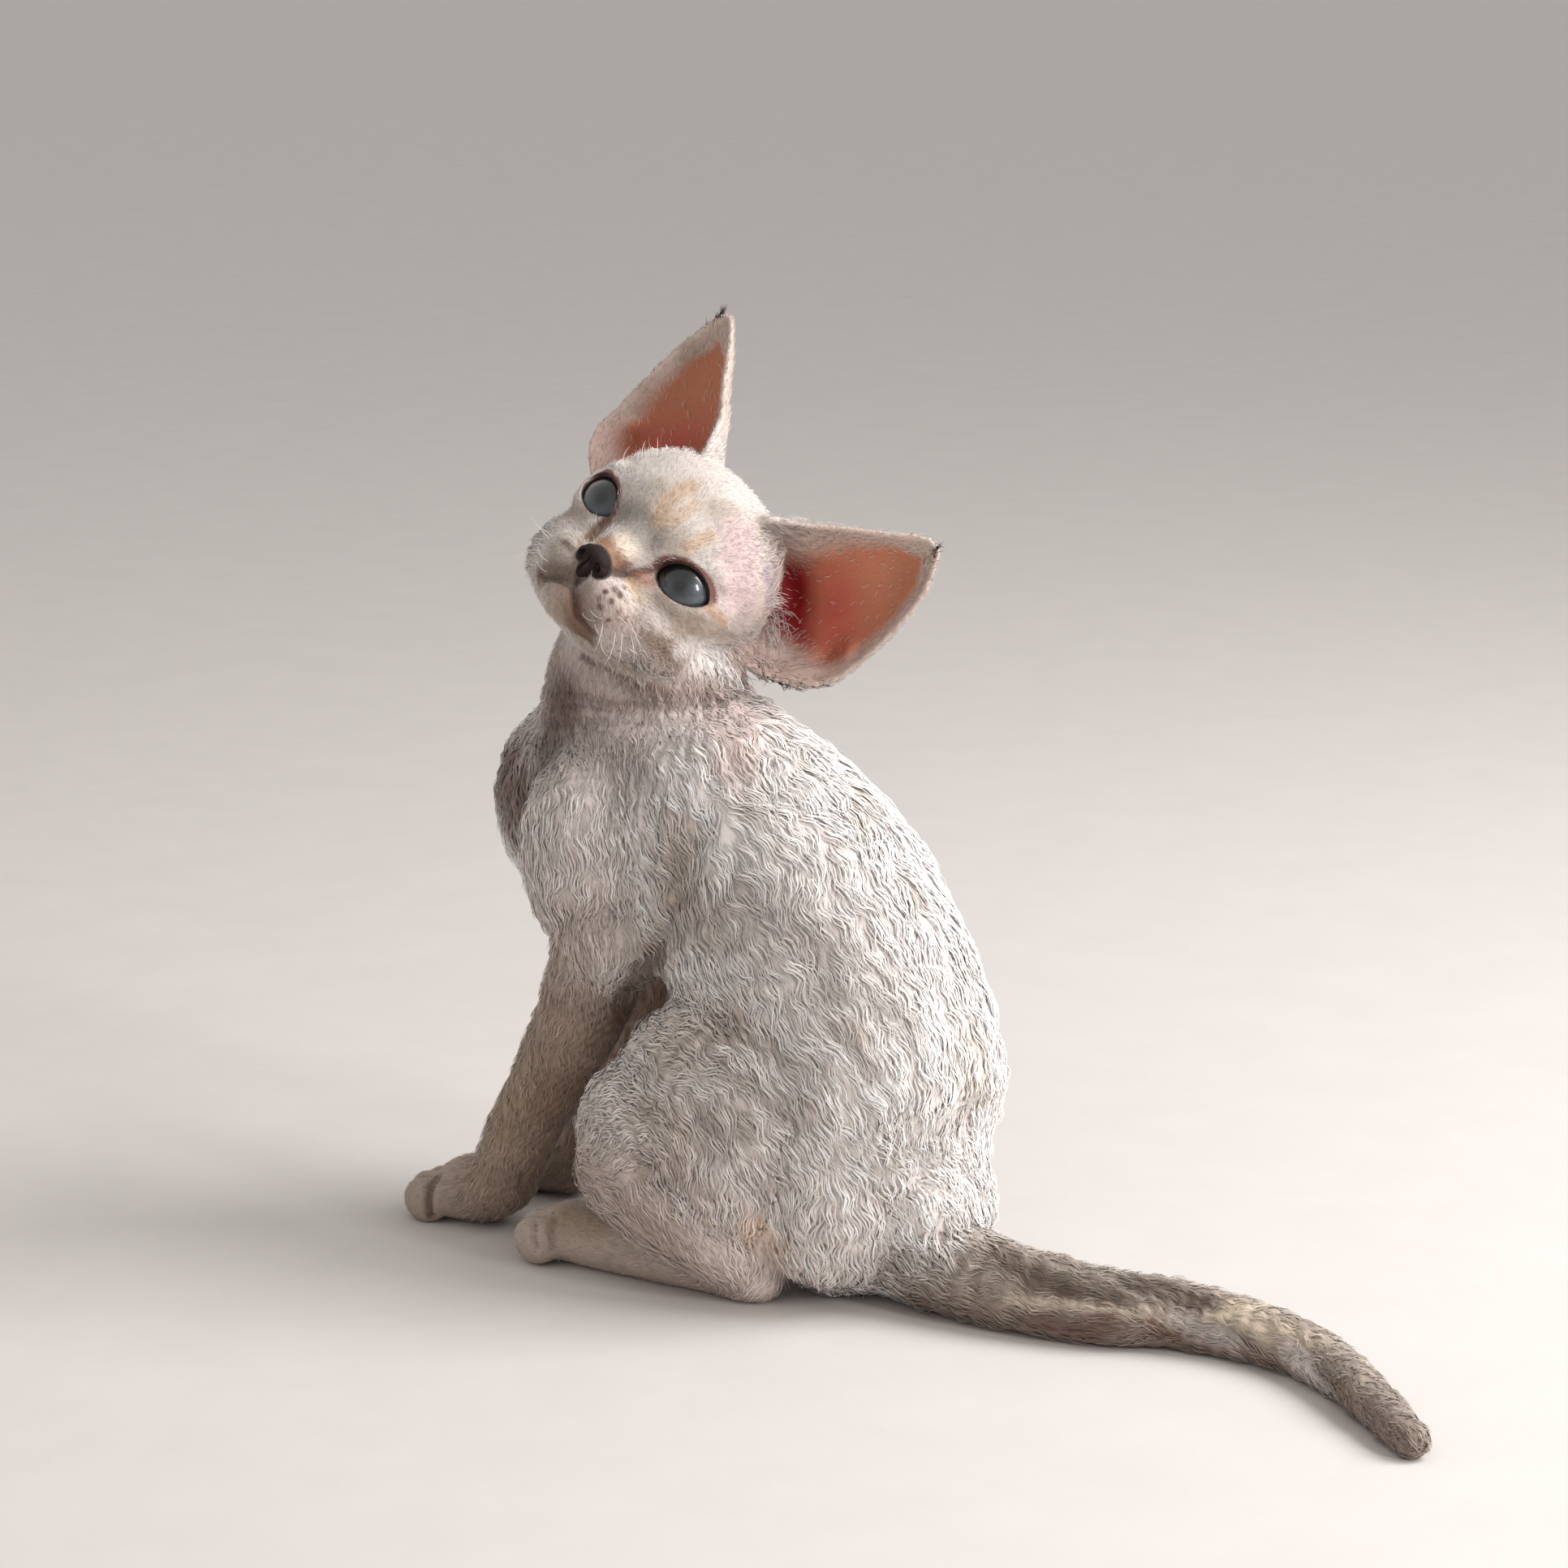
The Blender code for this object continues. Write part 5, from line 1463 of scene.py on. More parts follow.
def iris_material():
    """A wet eye: small pupil, slate iris with faint spokes, dark edge."""
    material, nodes, links, shader = node_tree("eye")
    where = nodes.new("ShaderNodeTexCoord").outputs["Object"]
    stretch = (1 / EYE_RADIUS, 0.90 / EYE_RADIUS, 0)
    flat = vector_math(nodes, links, "MULTIPLY", where, stretch)["Vector"]
    length = vector_math(nodes, links, "LENGTH", flat)["Value"]
    spoke = vector_math(nodes, links, "NORMALIZE", flat)["Vector"]
    spokes = noise_node(nodes, links, spoke, 7.0, 5.0, 0.7)
    cloud = noise_node(nodes, links, where, 420.0, 3.0)
    ramp = nodes.new("ShaderNodeValToRGB")
    while len(ramp.color_ramp.elements) < len(IRIS_STOPS):
        ramp.color_ramp.elements.new(0.5)
    for stop, (place, colour) in zip(ramp.color_ramp.elements, IRIS_STOPS):
        stop.position = place
        stop.color = (*linear(colour), 1)
    links.new(length, ramp.inputs["Fac"])
    light = product(nodes, links, ranged(nodes, links, spokes, 0.3, 0.7, 0.72, 1.28),
                    ranged(nodes, links, cloud, 0.3, 0.7, 0.85, 1.15))
    above = vector_math(nodes, links, "DOT_PRODUCT", where, LID_WAY)["Value"]
    shade = product(nodes, links, ranged(nodes, links, above, *LID_SHADE, 1.0, LID_DARK), light)
    links.new(times_grey(nodes, links, ramp.outputs["Color"], shade), shader.inputs["Base Color"])
    shader.inputs["Roughness"].default_value = 0.30
    shader.inputs["Coat Weight"].default_value = 1.0
    shader.inputs["Coat Roughness"].default_value = 0.02
    shader.inputs["Coat IOR"].default_value = 1.45
    return material


def plain_material(name, colour, roughness, scale, contrast, bump_depth, settings=()):
    """A colour mottled by noise, with a bump of the same grain."""
    material, nodes, links, shader = node_tree(name)
    where = nodes.new("ShaderNodeTexCoord").outputs["Object"]
    grain = noise_node(nodes, links, where, scale, 5.0, 0.6)
    base = nodes.new("ShaderNodeRGB")
    base.outputs[0].default_value = (*linear(colour), 1)
    grey = ranged(nodes, links, grain, 0.3, 0.7, 1 - contrast, 1 + contrast)
    links.new(times_grey(nodes, links, base.outputs[0], grey), shader.inputs["Base Color"])
    bumped(nodes, links, grain, bump_depth, 0.7, shader)
    shader.inputs["Roughness"].default_value = roughness
    for socket, value in settings:
        shader.inputs[socket].default_value = value
    return material


# Pieces of the head

# Pixels of the photo that the eyes' pupils are on, height of the cornea and its half angle, play in the socket
IRIS_PIXELS = {"eye_ball_left": (838, 722), "eye_ball_right": (742, 614)}
CORNEA_BULGE = 0.00035
CORNEA_ANGLE = math.radians(50)
EYE_PLAY = 0.00002
EYE_RINGS = 48
EYE_SIDES = 64


def eyeball(name, side):
    """A closed eye that looks where the photo's does, its cornea slightly raised."""
    centre = head_matrix() @ Vector((side * EYE_CENTRE[0], *EYE_CENTRE[1:]))
    start, way = pixel_ray(IRIS_PIXELS[name])
    reach = start - centre
    along = -reach.dot(way) - math.sqrt(max(reach.dot(way) ** 2 - reach.length_squared + EYE_RADIUS**2, 0))
    gaze = (start + way * along - centre).normalized()
    bm = bmesh.new()
    bmesh.ops.create_uvsphere(bm, u_segments=EYE_SIDES, v_segments=EYE_RINGS, radius=EYE_RADIUS - EYE_PLAY)
    for vert in bm.verts:
        tilt = math.acos(max(-1, min(1, vert.co.normalized().z)))
        bulge = CORNEA_BULGE * max(0, math.cos(min(tilt / CORNEA_ANGLE, 1) * math.pi / 2)) ** 1.2
        vert.co += vert.co.normalized() * bulge
    obj = object_from(name, bm)
    up = head_matrix().to_3x3() @ Vector((0, 0, 1))
    aside = up.cross(gaze).normalized()
    turn = Matrix((aside, gaze.cross(aside), gaze)).transposed().to_4x4()
    obj.matrix_world = Matrix.Translation(SHIFT + centre) @ turn
    return obj


# Nose leather in the head's frame: centres and radii, nostrils with their turn, groove, and voxel size and smoothing
NOSE_PARTS = (
    ((0, -0.0092, -0.0110), (0.0044, 0.0025, 0.0025)),
    ((0.0030, -0.0086, -0.0120), (0.0020, 0.0022, 0.0020)),
    ((-0.0030, -0.0086, -0.0120), (0.0020, 0.0022, 0.0020)),
    ((0, -0.0088, -0.0139), (0.0017, 0.0024, 0.0032)),
)
NOSTRILS = ((0.0031, -0.0108, -0.0124), (0.0013, 0.0012, 0.0007))
NOSTRIL_TURN = (0.55, 0.5)
NOSE_GROOVE = ((0, -0.0116, -0.0146), (0.00028, 0.0012, 0.0032))
NOSE_SKIN = (0.0002, 5)


def nose_ball(name, centre, radii, turn=(0, 0, 0)):
    """A ball of the nose, moved with the muzzle and placed on the body."""
    return in_head_frame(ball(name, bent(centre), radii, turn))


def nose_leather():
    """The moist nose pad, with its nostrils and groove."""
    nose = fused("nose_pad", [nose_ball("part", centre, radii) for centre, radii in NOSE_PARTS], *NOSE_SKIN)
    cuts = [nose_ball("groove", *NOSE_GROOVE)]
    for side in (1, -1):
        centre, radii = NOSTRILS
        turn = (0, side * NOSTRIL_TURN[0], side * NOSTRIL_TURN[1])
        cuts.append(nose_ball("nostril", (side * centre[0], *centre[1:]), radii, turn))
    return combined(nose, cuts, "DIFFERENCE")


# Share by which a hair thins towards its tip
HAIR_TAPER = 0.75


def hair(bm, points, radius, sides=5):
    """One tapered hair along the points."""
    rings = []
    for i, point in enumerate(points[:-1]):
        along = (points[i + 1] - points[max(i - 1, 0)]).normalized()
        aside = along.orthogonal().normalized()
        other = along.cross(aside)
        size = radius * (1 - HAIR_TAPER * i / (len(points) - 1))
        ring = []
        for k in range(sides):
            a = math.tau * k / sides
            ring.append(bm.verts.new(point + size * (aside * math.cos(a) + other * math.sin(a))))
        rings.append(ring)
    tip = bm.verts.new(points[-1])
    for one, two in zip(rings, rings[1:]):
        for k in range(sides):
            bm.faces.new((one[k], one[(k + 1) % sides], two[(k + 1) % sides], two[k]))
    for k in range(sides):
        bm.faces.new((rings[-1][k], rings[-1][(k + 1) % sides], tip))
    bm.faces.new(reversed(rings[0]))


# Whiskers and brow hairs of each side in the head's frame: root, first direction, how it curls, length
PAD_HAIRS = (
    ((0.0069, -0.0041, -0.0210), (0.70, -0.50, -0.50), (0.60, 0.10, 0.5), 0.0060),
    ((0.0080, -0.0060, -0.0195), (0.75, -0.45, -0.40), (0.60, 0.20, 0.4), 0.0062),
    ((0.0110, -0.0030, -0.0215), (0.65, -0.35, -0.65), (0.80, 0.30, 0.3), 0.0060),
    ((0.0135, 0.0013, -0.0225), (0.60, -0.20, -0.75), (0.70, 0.30, 0.2), 0.0064),
    ((0.0120, -0.0030, -0.0195), (0.80, -0.30, -0.50), (0.20, 0.40, -0.9), 0.0090),
    ((0.0150, 0.0000, -0.0190), (0.80, -0.15, -0.55), (0.10, 0.40, -1.0), 0.0100),
    ((0.0157, 0.0006, -0.0179), (0.85, -0.10, -0.50), (0.30, 0.50, -0.8), 0.0092),
    ((0.0165, 0.0015, -0.0165), (0.90, -0.05, -0.35), (0.50, 0.50, -0.6), 0.0080),
    ((0.0140, -0.0010, -0.0150), (0.95, -0.20, -0.10), (0.70, 0.50, -0.4), 0.0104),
    ((0.0125, -0.0030, -0.0160), (0.90, -0.35, -0.05), (0.80, 0.40, 0.1), 0.0096),
)
BROW_HAIRS = (
    ((0.0184, 0.0016, 0.0089), (0.80, -0.35, 0.50), (0.20, 0.30, 0.9), 0.0062),
    ((0.0180, 0.0034, 0.0135), (0.70, -0.35, 0.60), (0.50, 0.60, 0.6), 0.0058),
    ((0.0165, 0.0040, 0.0168), (0.60, -0.30, 0.75), (0.80, 0.20, 0.5), 0.0050),
)
WHISKER_RADIUS = 0.000085
WHISKER_STEPS = 11
WHISKER_ROOT = 0.0005


def whiskers(surface):
    """Short, curled whiskers on both pads and a few hairs above each eye."""
    bm = bmesh.new()
    rng = random.Random(5)
    head = head_matrix()
    turn = head.to_3x3()
    for side in (1, -1):
        for root, way, curl, length in (*PAD_HAIRS, *BROW_HAIRS):
            start = head @ bent((side * root[0], *root[1:]))
            start, normal, _, _ = surface.tree.find_nearest(start)
            first = (turn @ Vector((side * way[0], *way[1:]))).normalized()
            bend = (turn @ Vector((side * curl[0], *curl[1:]))).normalized()
            start = start - normal * WHISKER_ROOT
            curved_hair(bm, start, first, bend, length, WHISKER_RADIUS, rng, WHISKER_STEPS)
    return object_from("whiskers", bm)


# White hairs in front of each ear's canal: the photo's pixel at the root of each lock of the left ear, and in the
# head's frame the way it starts in and the way it curls to
FURNISHINGS = (
    ((950, 742), (0.62, -0.60, 0.50), (0.60, -0.10, 0.30)),
    ((952, 752), (0.70, -0.60, 0.40), (0.70, -0.05, -0.10)),
    ((953, 762), (0.75, -0.60, 0.30), (0.60, 0.00, -0.50)),
    ((952, 772), (0.80, -0.50, 0.20), (0.50, 0.05, -0.80)),
    ((948, 784), (0.80, -0.50, 0.10), (0.75, 0.10, -0.60)),
)
# Hairs in each lock, their spread at the root, in their first way and in their curl, their lengths and radius
FURNISHING_HAIRS = 26
FURNISHING_SPREADS = (0.0014, 0.16, 0.2)
FURNISHING_LENGTHS = (0.0030, 0.0062)
FURNISHING_RADIUS = 0.00012
# The same on each ear's tip, where they start on the leaf's last rows
TIP_HAIRS = 34
TIP_SPREADS = (2.6, 0.28, 0.5)
TIP_LENGTHS = (0.0014, 0.0032)
TIP_RADIUS = 0.00009
TIP_STEPS = 6
TIP_ROWS = 8


def curved_hair(bm, start, first, bend, length, radius, rng, steps=9):
    """A hair that leaves the start in one direction and curls into another."""
    points = [start]
    for k in range(steps):
        share = k / steps
        way = (first * (1 - share) ** 1.2 + bend * share * 1.2).normalized()
        points.append(points[-1] + way * length / steps * rng.uniform(0.92, 1.08))
    hair(bm, points, radius)


def spread(rng, size):
    """A random way, to be added to another."""
    return Vector([rng.gauss(0, size) for _ in range(3)])


def furnishings(surface):
    """Curled white hairs in front of the canals."""
    bm = bmesh.new()
    rng = random.Random(9)
    turn = head_matrix().to_3x3()
    at_root, at_first, at_curl = FURNISHING_SPREADS
    for pixel, way, curl in FURNISHINGS:
        root = in_head([surface.tree.ray_cast(*pixel_ray(pixel))[0]])[0]
        for side in (1, -1):
            for _ in range(FURNISHING_HAIRS):
                near = [c + rng.gauss(0, at_root) for c in root]
                start = surface.tree.find_nearest(head_matrix() @ Vector((side * near[0], *near[1:])))[0]
                first = turn @ Vector((side * way[0], *way[1:])) + spread(rng, at_first)
                bend = turn @ Vector((side * curl[0], *curl[1:])) + spread(rng, at_curl)
                curved_hair(bm, start, first, bend, rng.uniform(*FURNISHING_LENGTHS), FURNISHING_RADIUS, rng)
    return object_from("furnishings", bm)


def ear_tips():
    """Dark hairs on the ears' tips."""
    bm = bmesh.new()
    rng = random.Random(4)
    turn = head_matrix().to_3x3()
    at_row, at_first, at_curl = TIP_SPREADS
    for side in (1, -1):
        lines = ear_places(side)
        way = Vector(lines[-1][EAR_COLUMNS // 2][0]) - Vector(lines[-14][EAR_COLUMNS // 2][0])
        way = (turn @ way).normalized()
        for _ in range(TIP_HAIRS):
            row = lines[-1 - min(int(abs(rng.gauss(0, at_row))), TIP_ROWS)]
            place = row[rng.randrange(EAR_COLUMNS * 5 // 8, EAR_COLUMNS + 1)][0]
            first = way + spread(rng, at_first)
            bend = way + spread(rng, at_curl)
            start = head_matrix() @ Vector(place)
            curved_hair(bm, start, first, bend, rng.uniform(*TIP_LENGTHS), TIP_RADIUS, rng, TIP_STEPS)
    return object_from("ear_tips", bm)


# Relief pressed into the skin

# Folds round the neck: a point and the axis of each, depth and half width
NECK_FOLDS = (
    ((0, -0.028, 0.1375), (0.05, -0.08, 1.0), 0.0009, 0.0009),
    ((0, -0.028, 0.1330), (0.02, -0.15, 1.0), 0.0006, 0.0009),
    ((0, -0.028, 0.1410), (0.08, 0.02, 1.0), 0.0006, 0.0008),
)
# The neck's middle, radius and reach, and how far the folds waver
NECK_ROUND = (-0.025, 0.024, 0.012)
FOLD_WOBBLE = 0.0008
# The mouth: place and size of its zone in the head's frame, depth and half width of its line, and its bare border
MOUTH_ZONE = ((0, -0.005, -0.018), 0.022)
LIP_DEPTH = 0.0017
LIP_WIDTH = 0.0007
LIP_BARE = 0.0006
# Creases by the photo's pixels, with depth and half width, and whether they are on both sides: along the jaw, under
# the chin, behind the upper arm and the chest, over the hock, and between the toes
CREASES = (
    (((716, 790), (738, 806), (766, 822), (800, 834), (840, 844), (884, 848), (918, 846)), 0.0016, 0.0016, False),
    (((700, 850), (740, 858), (790, 862), (850, 860), (900, 856)), 0.0008, 0.0012, False),
    (((818, 1150), (800, 1185), (780, 1215), (760, 1245)), 0.0030, 0.0032, True),
    (((850, 1040), (835, 1090), (822, 1140)), 0.0014, 0.0040, True),
    (((800, 1365), (850, 1400), (905, 1450), (945, 1490)), 0.0012, 0.0030, True),
    (((541, 1448), (532, 1460), (528, 1476), (529, 1492), (533, 1504)), 0.0020, 0.0009, True),
    (((544, 1458), (560, 1452), (580, 1450)), 0.0011, 0.0012, True),
    (((507, 1446), (498, 1462), (497, 1482), (501, 1500)), 0.0012, 0.0008, True),
    (((660, 1506), (656, 1522), (660, 1542)), 0.0016, 0.0009, True),
    (((684, 1500), (680, 1518), (684, 1546)), 0.0014, 0.0009, True),
)


def mouth_gap(points, surface):
    """Distance of each point from the mouth's line and its cleft, laid on the skin."""
    line = []
    for rows in (MOUTH_POINTS, CLEFT_POINTS):
        line += [surface.tree.find_nearest(head_matrix() @ bent(row))[0] for row in smooth_path(rows, 8)]
    return line_gap(points, [np.array(place) for place in line])


# Grooves between the toes: depth, half width, reach, and the height they end at
TOE_GROOVE = (0.0026, 0.0010, 0.0100)
TOE_TOP = 0.018
# Ripples: their height, the waves that have them in full, and the noise in the phases of all waves
RIPPLE = 0.00030
RIPPLE_WAVE = 0.0005
PHASE_GRAIN = 0.011
PHASE_NOISE = 3.2
CREASE_STEPS = 4
# Least height of the skin and of the tufts over the floor
FLOOR_GAP = 0.0002
TUFT_GAP = 0.0006


def toe_depth(points):
    """How deep the grooves between the toes go at each point."""
    deep, width, reach = TOE_GROOVE
    depth = np.zeros(len(points))
    for row in (FORE_TOE_ROW, HIND_TOE_ROW):
        along = np.clip(1 - np.abs(points[:, 1] - row[1] + 0.004) / reach, 0, 1) ** 0.5
        for off in (-1, 0, 1):
            slant = 1 + TOE_SPLAY * (row[1] - points[:, 1]) / 0.02
            gap = np.abs(points[:, 0]) - row[0] - off * TOE_SPACING * slant
            depth += deep * along * np.exp(-(gap / width) ** 2)
    high = points[:, 2]
    return depth * np.clip((high - 0.001) / 0.002, 0, 1) * np.clip((TOE_TOP - high) / 0.003, 0, 1)


def rippled(points, normals):
    """The soft waves of the coat in the skin itself."""
    shares = in_parts(region_shares, points)
    sizes = coat_at(points, shares)
    ways = laid(lie_at(points, shares), normals)
    phase = math.tau * (points * ways).sum(axis=1) / sizes[:, 4] + PHASE_NOISE * soft_noise(points, PHASE_GRAIN)
    lumps = 0.9 * soft_noise(points, 0.0045, 7.0) + 2.6 * soft_noise(points, 0.0095, 2.0)
    off_ears = 1 - share_of(shares, "ear")
    return off_ears * np.clip(sizes[:, 3] / RIPPLE_WAVE, 0, 1.2) * RIPPLE * (np.sin(phase) + lumps)


def crease_lines(surface):
    """Each crease as places on the skin, with its depth and width, and its mirror image where both sides have it."""
    made = []
    for pixels, deep, width, mirrored in CREASES:
        line = seen_line(surface.tree, pixels, CREASE_STEPS)
        made.append((line, deep, width))
        if mirrored:
            made.append(([place * (-1, 1, 1) for place in line], deep, width))
    return made


def pressed(skin, surface):
    """Presses the creases, the mouth's line, the neck's folds and the toes' grooves into the skin, and ripples it."""
    places, normals = surface.places, surface.normals
    near = np.linalg.norm(in_head(places) - np.array(MOUTH_ZONE[0]), axis=1) < MOUTH_ZONE[1]
    depth = toe_depth(places) - rippled(places, normals)
    for line, deep, width in crease_lines(surface):
        depth += deep * np.exp(-(line_gap(places, line) / width) ** 2)
    depth[near] += LIP_DEPTH * np.exp(-(mouth_gap(places[near], surface) / LIP_WIDTH) ** 2)
    middle, radius, reach = NECK_ROUND
    wobble = FOLD_WOBBLE * np.sin(np.arctan2(places[:, 0], places[:, 1] - middle) * 3)
    neck = np.exp(-((np.hypot(places[:, 0], places[:, 1] - middle) - radius) / reach) ** 2)
    for point, axis, deep, width in NECK_FOLDS:
        axis = np.array(axis) / np.linalg.norm(axis)
        off = (places - np.array(point)) @ axis
        depth += deep * neck * np.exp(-((off + wobble) / width) ** 2)
    moved = places - normals * depth[:, None]
    moved[:, 2] = np.maximum(moved[:, 2], FLOOR_GAP)
    skin.data.vertices.foreach_set("co", moved.astype(np.float32).ravel())
    skin.data.update()


def refined(skin):
    """Cuts the faces of the muzzle and round the eyes in four."""
    bm = bmesh.new()
    bm.from_mesh(skin.data)
    inverse = head_matrix().inverted()
    edges = [edge for edge in bm.edges if all(fine_zone(inverse @ vert.co) for vert in edge.verts)]
    bmesh.ops.subdivide_edges(bm, edges=edges, cuts=1, use_grid_fill=True)
    bm.to_mesh(skin.data)
    bm.free()


def fine_zone(point):
    """Whether a point of the head's frame is on the face's front."""
    return point.y < 0.010 and abs(point.x) < 0.026 and -0.027 < point.z < 0.010


# Coat

# Roots drawn at first, least length and steps of each band of tufts, and triangles in a piece at most
DRAWS = 420000
STEPS = ((0.0064, 5), (0.0038, 4), (0.0, 3))
PIECE_TRIANGLES = 190000
# Cells of the grids that space the tufts and the locks
TUFT_CELL = 0.0012
LOCK_CELL = 0.0040
# Bare borders: round the lids as a share of the opening, round the nose leather, and height of the soles
LID_BARE = 1.05
NOSE_BARE = 0.0002
SOLE_HEIGHT = 0.0012


def bare_places(points, surface, ears, rng):
    """Places where no tufts grow: eyes, nose, lips, the insides of the ears and the soles."""
    ratio, _, near = lid_places(points)
    head = in_head(points)
    nose = np.zeros(len(points), bool)
    for centre, radii in NOSE_PARTS:
        nose |= np.linalg.norm((head - np.array(bent(centre))) / (np.array(radii) + NOSE_BARE), axis=1) < 1
    hollow = ears.bare(points) > rng.random(len(points)) * 1.03
    sole = points[:, 2] < SOLE_HEIGHT
    lips = mouth_gap(points, surface) < LIP_BARE
    return lips | ((ratio < LID_BARE) & (near > 0)) | nose | hollow | sole


def coat(surface, unwrap, ears, marks):
    """Tufts over the whole skin, gathered into locks, in pieces of like length."""
    rng = np.random.default_rng(11)
    points, normals = surface.drawn(DRAWS, rng)
    shares = in_parts(region_shares, points)
    sizes = coat_at(points, shares)
    free = ~bare_places(points, surface, ears, rng)
    points, normals, shares, sizes = points[free], normals[free], shares[free], sizes[free]
    kept = spaced(points, sizes[:, 5], TUFT_CELL)
    points, normals, shares, sizes = points[kept], normals[kept], shares[kept], sizes[kept]
    order = rng.permutation(len(points))
    leads = order[spaced(points[order], sizes[order][:, 6], LOCK_CELL)]
    tree = kdtree.KDTree(len(leads))
    for k, index in enumerate(leads):
        tree.insert(points[index], k)
    tree.balance()
    lock = np.array([tree.find(point)[1] for point in points])
    ways = laid(lie_at(points[leads], shares[leads]), normals[leads])
    advance = (points[leads] * ways).sum(axis=1)
    phases = math.tau * advance / sizes[leads][:, 4] + PHASE_NOISE * soft_noise(points[leads], PHASE_GRAIN)
    turns = 0.45 * soft_noise(points[leads], 0.014, 5.0) + rng.normal(0, 0.16, len(leads))
    traits = (turns, phases, rng.uniform(0.7, 1.3, len(leads)), rng.uniform(0.85, 1.2, len(leads)),
              1 + 0.16 * soft_noise(points[leads], 0.0085, 4.0) + rng.normal(0, 0.05, len(leads)))
    made = []
    upper = np.inf
    for shortest, steps in STEPS:
        own = (sizes[:, 0] >= shortest) & (sizes[:, 0] < upper)
        upper = shortest
        made += coat_band(surface, unwrap, ears, marks, rng, steps, own, points, normals, shares, sizes, lock, leads,
                          traits)
    return made


def coat_band(surface, unwrap, ears, marks, rng, steps, own, points, normals, shares, sizes, lock, leads, traits):
    """The tufts of one band of lengths, with the leading tuft of each of their locks."""
    turns, phases, swings, stretch, tones = traits
    used = np.unique(lock[own])
    slot_of = np.zeros(len(leads), int)
    slot_of[used] = np.arange(len(used))
    head = leads[used]
    line, ups = marched(surface, points[head], normals[head], turns[used], sizes[head, 0] * stretch[used], steps)
    heights = sizes[head, 2] * np.random.default_rng(3).uniform(0.75, 1.2, len(used))
    lead_line, _ = waved(line, ups, sizes[head], phases[used], swings[used], heights)
    index = np.flatnonzero(own)
    mine = lock[index]
    count = len(index)
    turn = turns[mine] + rng.normal(0, 0.13, count)
    length = sizes[index, 0] * stretch[mine] * rng.uniform(0.8, 1.12, count)
    line, ups = marched(surface, points[index], normals[index], turn, length, steps)
    ways = laid(lie_at(points[index], shares[index]), normals[index])
    offset = ((points[index] - points[leads[mine]]) * ways).sum(axis=1)
    phase = phases[mine] + math.tau * offset / sizes[index, 4] + rng.normal(0, 0.25, count)
    border = np.clip(np.linalg.norm(points[index] - points[leads[mine]], axis=1) / (0.62 * sizes[index, 6]), 0, 1)
    height = sizes[index, 2] * rng.uniform(0.7, 1.2, count) * (1.1 - 0.6 * border)
    line, asides = waved(line, ups, sizes[index], phase, swings[mine], height)
    pull = sizes[index, 7][:, None] * np.linspace(0, 1, steps + 1)[None, :] ** 1.3
    line = line + (lead_line[slot_of[mine]] - line) * pull[:, :, None]
    line[:, :, 2] = np.maximum(line[:, :, 2], TUFT_GAP)
    waves = (length / sizes[index, 4])[:, None]
    angles = phase[:, None] + math.tau * (np.linspace(0, 1, steps + 1)[None, :] * waves)
    colours = tuft_colours(points[index], shares[index], marks, ears, tones[mine], border, angles, rng)
    uvs = unwrap.at(points[index])
    width = sizes[index, 1] * rng.uniform(0.8, 1.2, count)
    each = (steps - 1) * 6 + 4
    order = np.argsort(points[index][:, 2] + points[index][:, 1] * -0.3)
    size = PIECE_TRIANGLES // each
    made = []
    for part, first in enumerate(range(0, count, size)):
        rows = order[first:first + size]
        name = f"coat_{steps}_{part}"
        made.append(prisms(name, line[rows], asides[rows], ups[rows], width[rows], colours[rows], uvs[rows]))
    return made


# The skin's colours

def skin_tints(surface, marks, ears, mouth_from):
    """Colour of the skin at each vertex: as the coat near its roots, with lids, lips and insides of the ears."""
    points = surface.places
    shares = in_parts(region_shares, points)
    roots = shares @ linear([ROOT_COLOURS[name] for name in REGIONS])
    tips = shares @ linear([TIP_COLOURS[name] for name in REGIONS])
    partings = parting_shares(points)
    colours = blended(roots * 0.5 + tips * 0.5, linear(PARTING), partings * 0.6)
    colours = marked(points, colours, marks, shares)
    ratio, height, near = lid_places(points)
    near = np.clip(near * 3, 0, 1)
    upper = np.clip(height * 2 + 0.4, 0, 1)
    band = np.clip((1.09 + 0.17 * upper - ratio) / 0.12, 0, 1) * near
    colours = blended(colours, linear(LID_BAND), band * (0.35 + 0.6 * upper))
    colours = blended(colours, linear(LID_EDGE), np.clip((0.985 - ratio) / 0.05, 0, 1) * near)
    colours = blended(colours, linear(LIP_LINE), np.exp(-(mouth_gap(points, mouth_from) / 0.0008) ** 2) * 0.9)
    head = in_head(points)
    for centre, radii in NOSE_PARTS:
        ratio = np.linalg.norm((head - np.array(bent(centre))) / (np.array(radii) + NOSE_EDGE), axis=1)
        colours = blended(colours, linear(NOSE_DARK), np.clip((1.1 - ratio) / 0.15, 0, 1))
    return ear_tints(colours, points, ears)


# Studio: lamps are placed by the camera's right, up and backward axes

FLOOR_HALF = 16.0
FLOOR_COLOUR = (208, 202, 198)
KEY_PLACE = (0.86, 0.66, 0.28)
KEY_SIZE = 0.7
KEY_POWER = 15.0
WINDOW_PLACE = (0.85, 0.28, 0.95)
WINDOW_SIZE = (0.16, 0.42)
WINDOW_POWER = 4.5
WORLD_COLOUR = (1.0, 0.985, 0.97)
WORLD_STRENGTH = 0.62


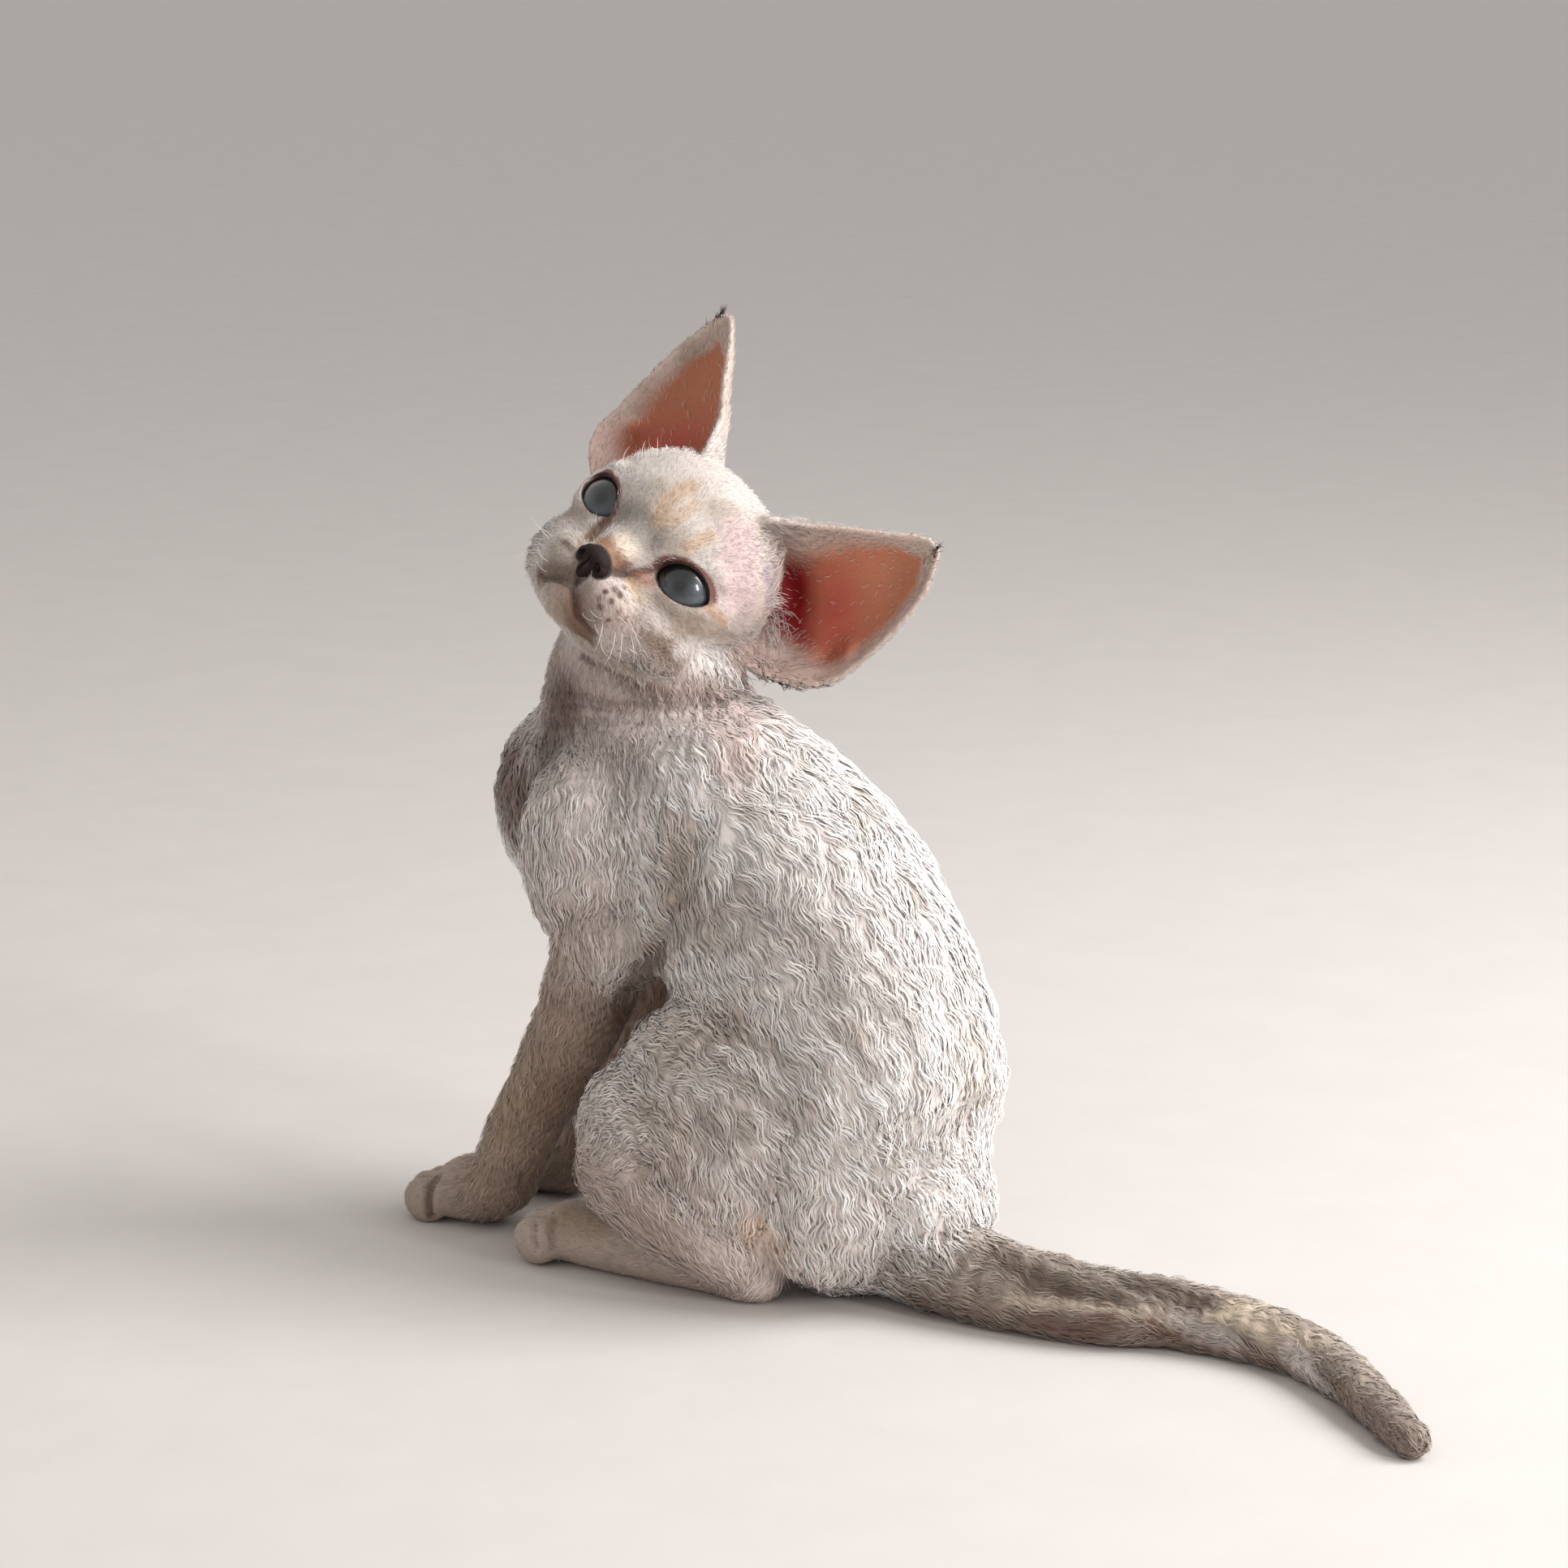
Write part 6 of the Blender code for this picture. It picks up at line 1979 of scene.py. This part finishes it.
def lamp(name, place, width, height, power):
    """A soft rectangular light, placed by the camera's right, up and backward axes and turned to the kitten."""
    light = bpy.data.lights.new(name, "AREA")
    light.shape = "RECTANGLE"
    light.size = width
    light.size_y = height
    light.energy = power
    obj = bpy.data.objects.new(name, light)
    bpy.context.scene.collection.objects.link(obj)
    right, up, back = view_axes()
    middle = view_target() + SHIFT
    spot = middle + right * place[0] + up * place[1] + back * place[2]
    obj.rotation_mode = "QUATERNION"
    obj.location = spot
    obj.rotation_quaternion = (spot - middle).to_track_quat("Z", "Y")


def studio():
    """Floor, lights and camera."""
    bm = bmesh.new()
    bmesh.ops.create_grid(bm, x_segments=8, y_segments=8, size=FLOOR_HALF)
    floor = object_from("floor", bm)
    floor.data.materials.append(plain_material("floor", FLOOR_COLOUR, 0.85, 35.0, 0.02, 0.0002))
    lamp("key", KEY_PLACE, KEY_SIZE, KEY_SIZE, KEY_POWER)
    lamp("window", WINDOW_PLACE, *WINDOW_SIZE, WINDOW_POWER)
    world = bpy.data.worlds.new("studio")
    world.use_nodes = True
    sky = world.node_tree.nodes["Background"]
    sky.inputs["Color"].default_value = (*WORLD_COLOUR, 1)
    sky.inputs["Strength"].default_value = WORLD_STRENGTH
    bpy.context.scene.world = world
    bpy.context.scene.view_settings.view_transform = "Standard"
    right, up, back = view_axes()
    lens = bpy.data.cameras.new("camera")
    lens.sensor_width = SENSOR
    lens.lens = VIEW_DISTANCE * SENSOR / (2 * VIEW_HALF_WIDTH)
    camera = bpy.data.objects.new("camera", lens)
    bpy.context.scene.collection.objects.link(camera)
    turn = Matrix((right, up, back)).transposed().to_4x4()
    camera.matrix_world = Matrix.Translation(view_target() + back * VIEW_DISTANCE + SHIFT) @ turn
    bpy.context.scene.camera = camera


def dressed(obj, material, slot, *nodes):
    """Puts the piece in place, on the body, with its material, and hides the nodes it stands for. The slot is not
    used.
    """
    obj.data.materials.clear()
    obj.data.materials.append(material)
    if obj.location.length == 0:
        obj.location = SHIFT
    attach(obj, "root")
    if nodes:
        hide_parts(*nodes)


def build():
    """The whole scene."""
    skin = flesh()
    refined(skin)
    smoothed(skin)
    base = Surface(skin)
    pressed(skin, base)
    surface = Surface(skin)
    marks = found_marks(surface.tree)
    ears = EarMap(surface)
    store_tint(skin.data, skin_tints(surface, marks, ears, base))
    skin_look = tinted_material("skin", 0.62, 2600.0, 0.10, 3200.0, 0.00025)
    sheen = (("Sheen Weight", 0.35), ("Sheen Roughness", 0.5))
    fur = tinted_material("fur", 0.72, 900.0, 0.08, 5200.0, 0.00005, sheen)
    tufts = coat(surface, Unwrap(skin), ears, marks)
    flesh_nodes = [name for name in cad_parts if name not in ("eye_left", "eye_right", "nose")]
    dressed(skin, skin_look, "coat", *flesh_nodes)
    for piece in tufts:
        dressed(piece, fur, "coat")
    wet = iris_material()
    for side, name in ((1, "eye_ball_left"), (-1, "eye_ball_right")):
        dressed(smoothed(eyeball(name, side)), wet, "eye", name.replace("ball_", ""))
    less_gloss = (("Specular IOR Level", 0.25),)
    leather = plain_material("nose_leather", (32, 15, 13), 0.62, 2600.0, 0.25, 0.0003, less_gloss)
    dressed(smoothed(nose_leather()), leather, "nose_leather", "nose")
    white = plain_material("whisker", (240, 236, 232), 0.4, 900.0, 0.05, 0.00001)
    dressed(whiskers(surface), white, "coat")
    dressed(furnishings(surface), white, "coat")
    dark = plain_material("dark_hair", (62, 44, 38), 0.6, 900.0, 0.15, 0.00001)
    dressed(ear_tips(), dark, "coat_dark")
    studio()


build()
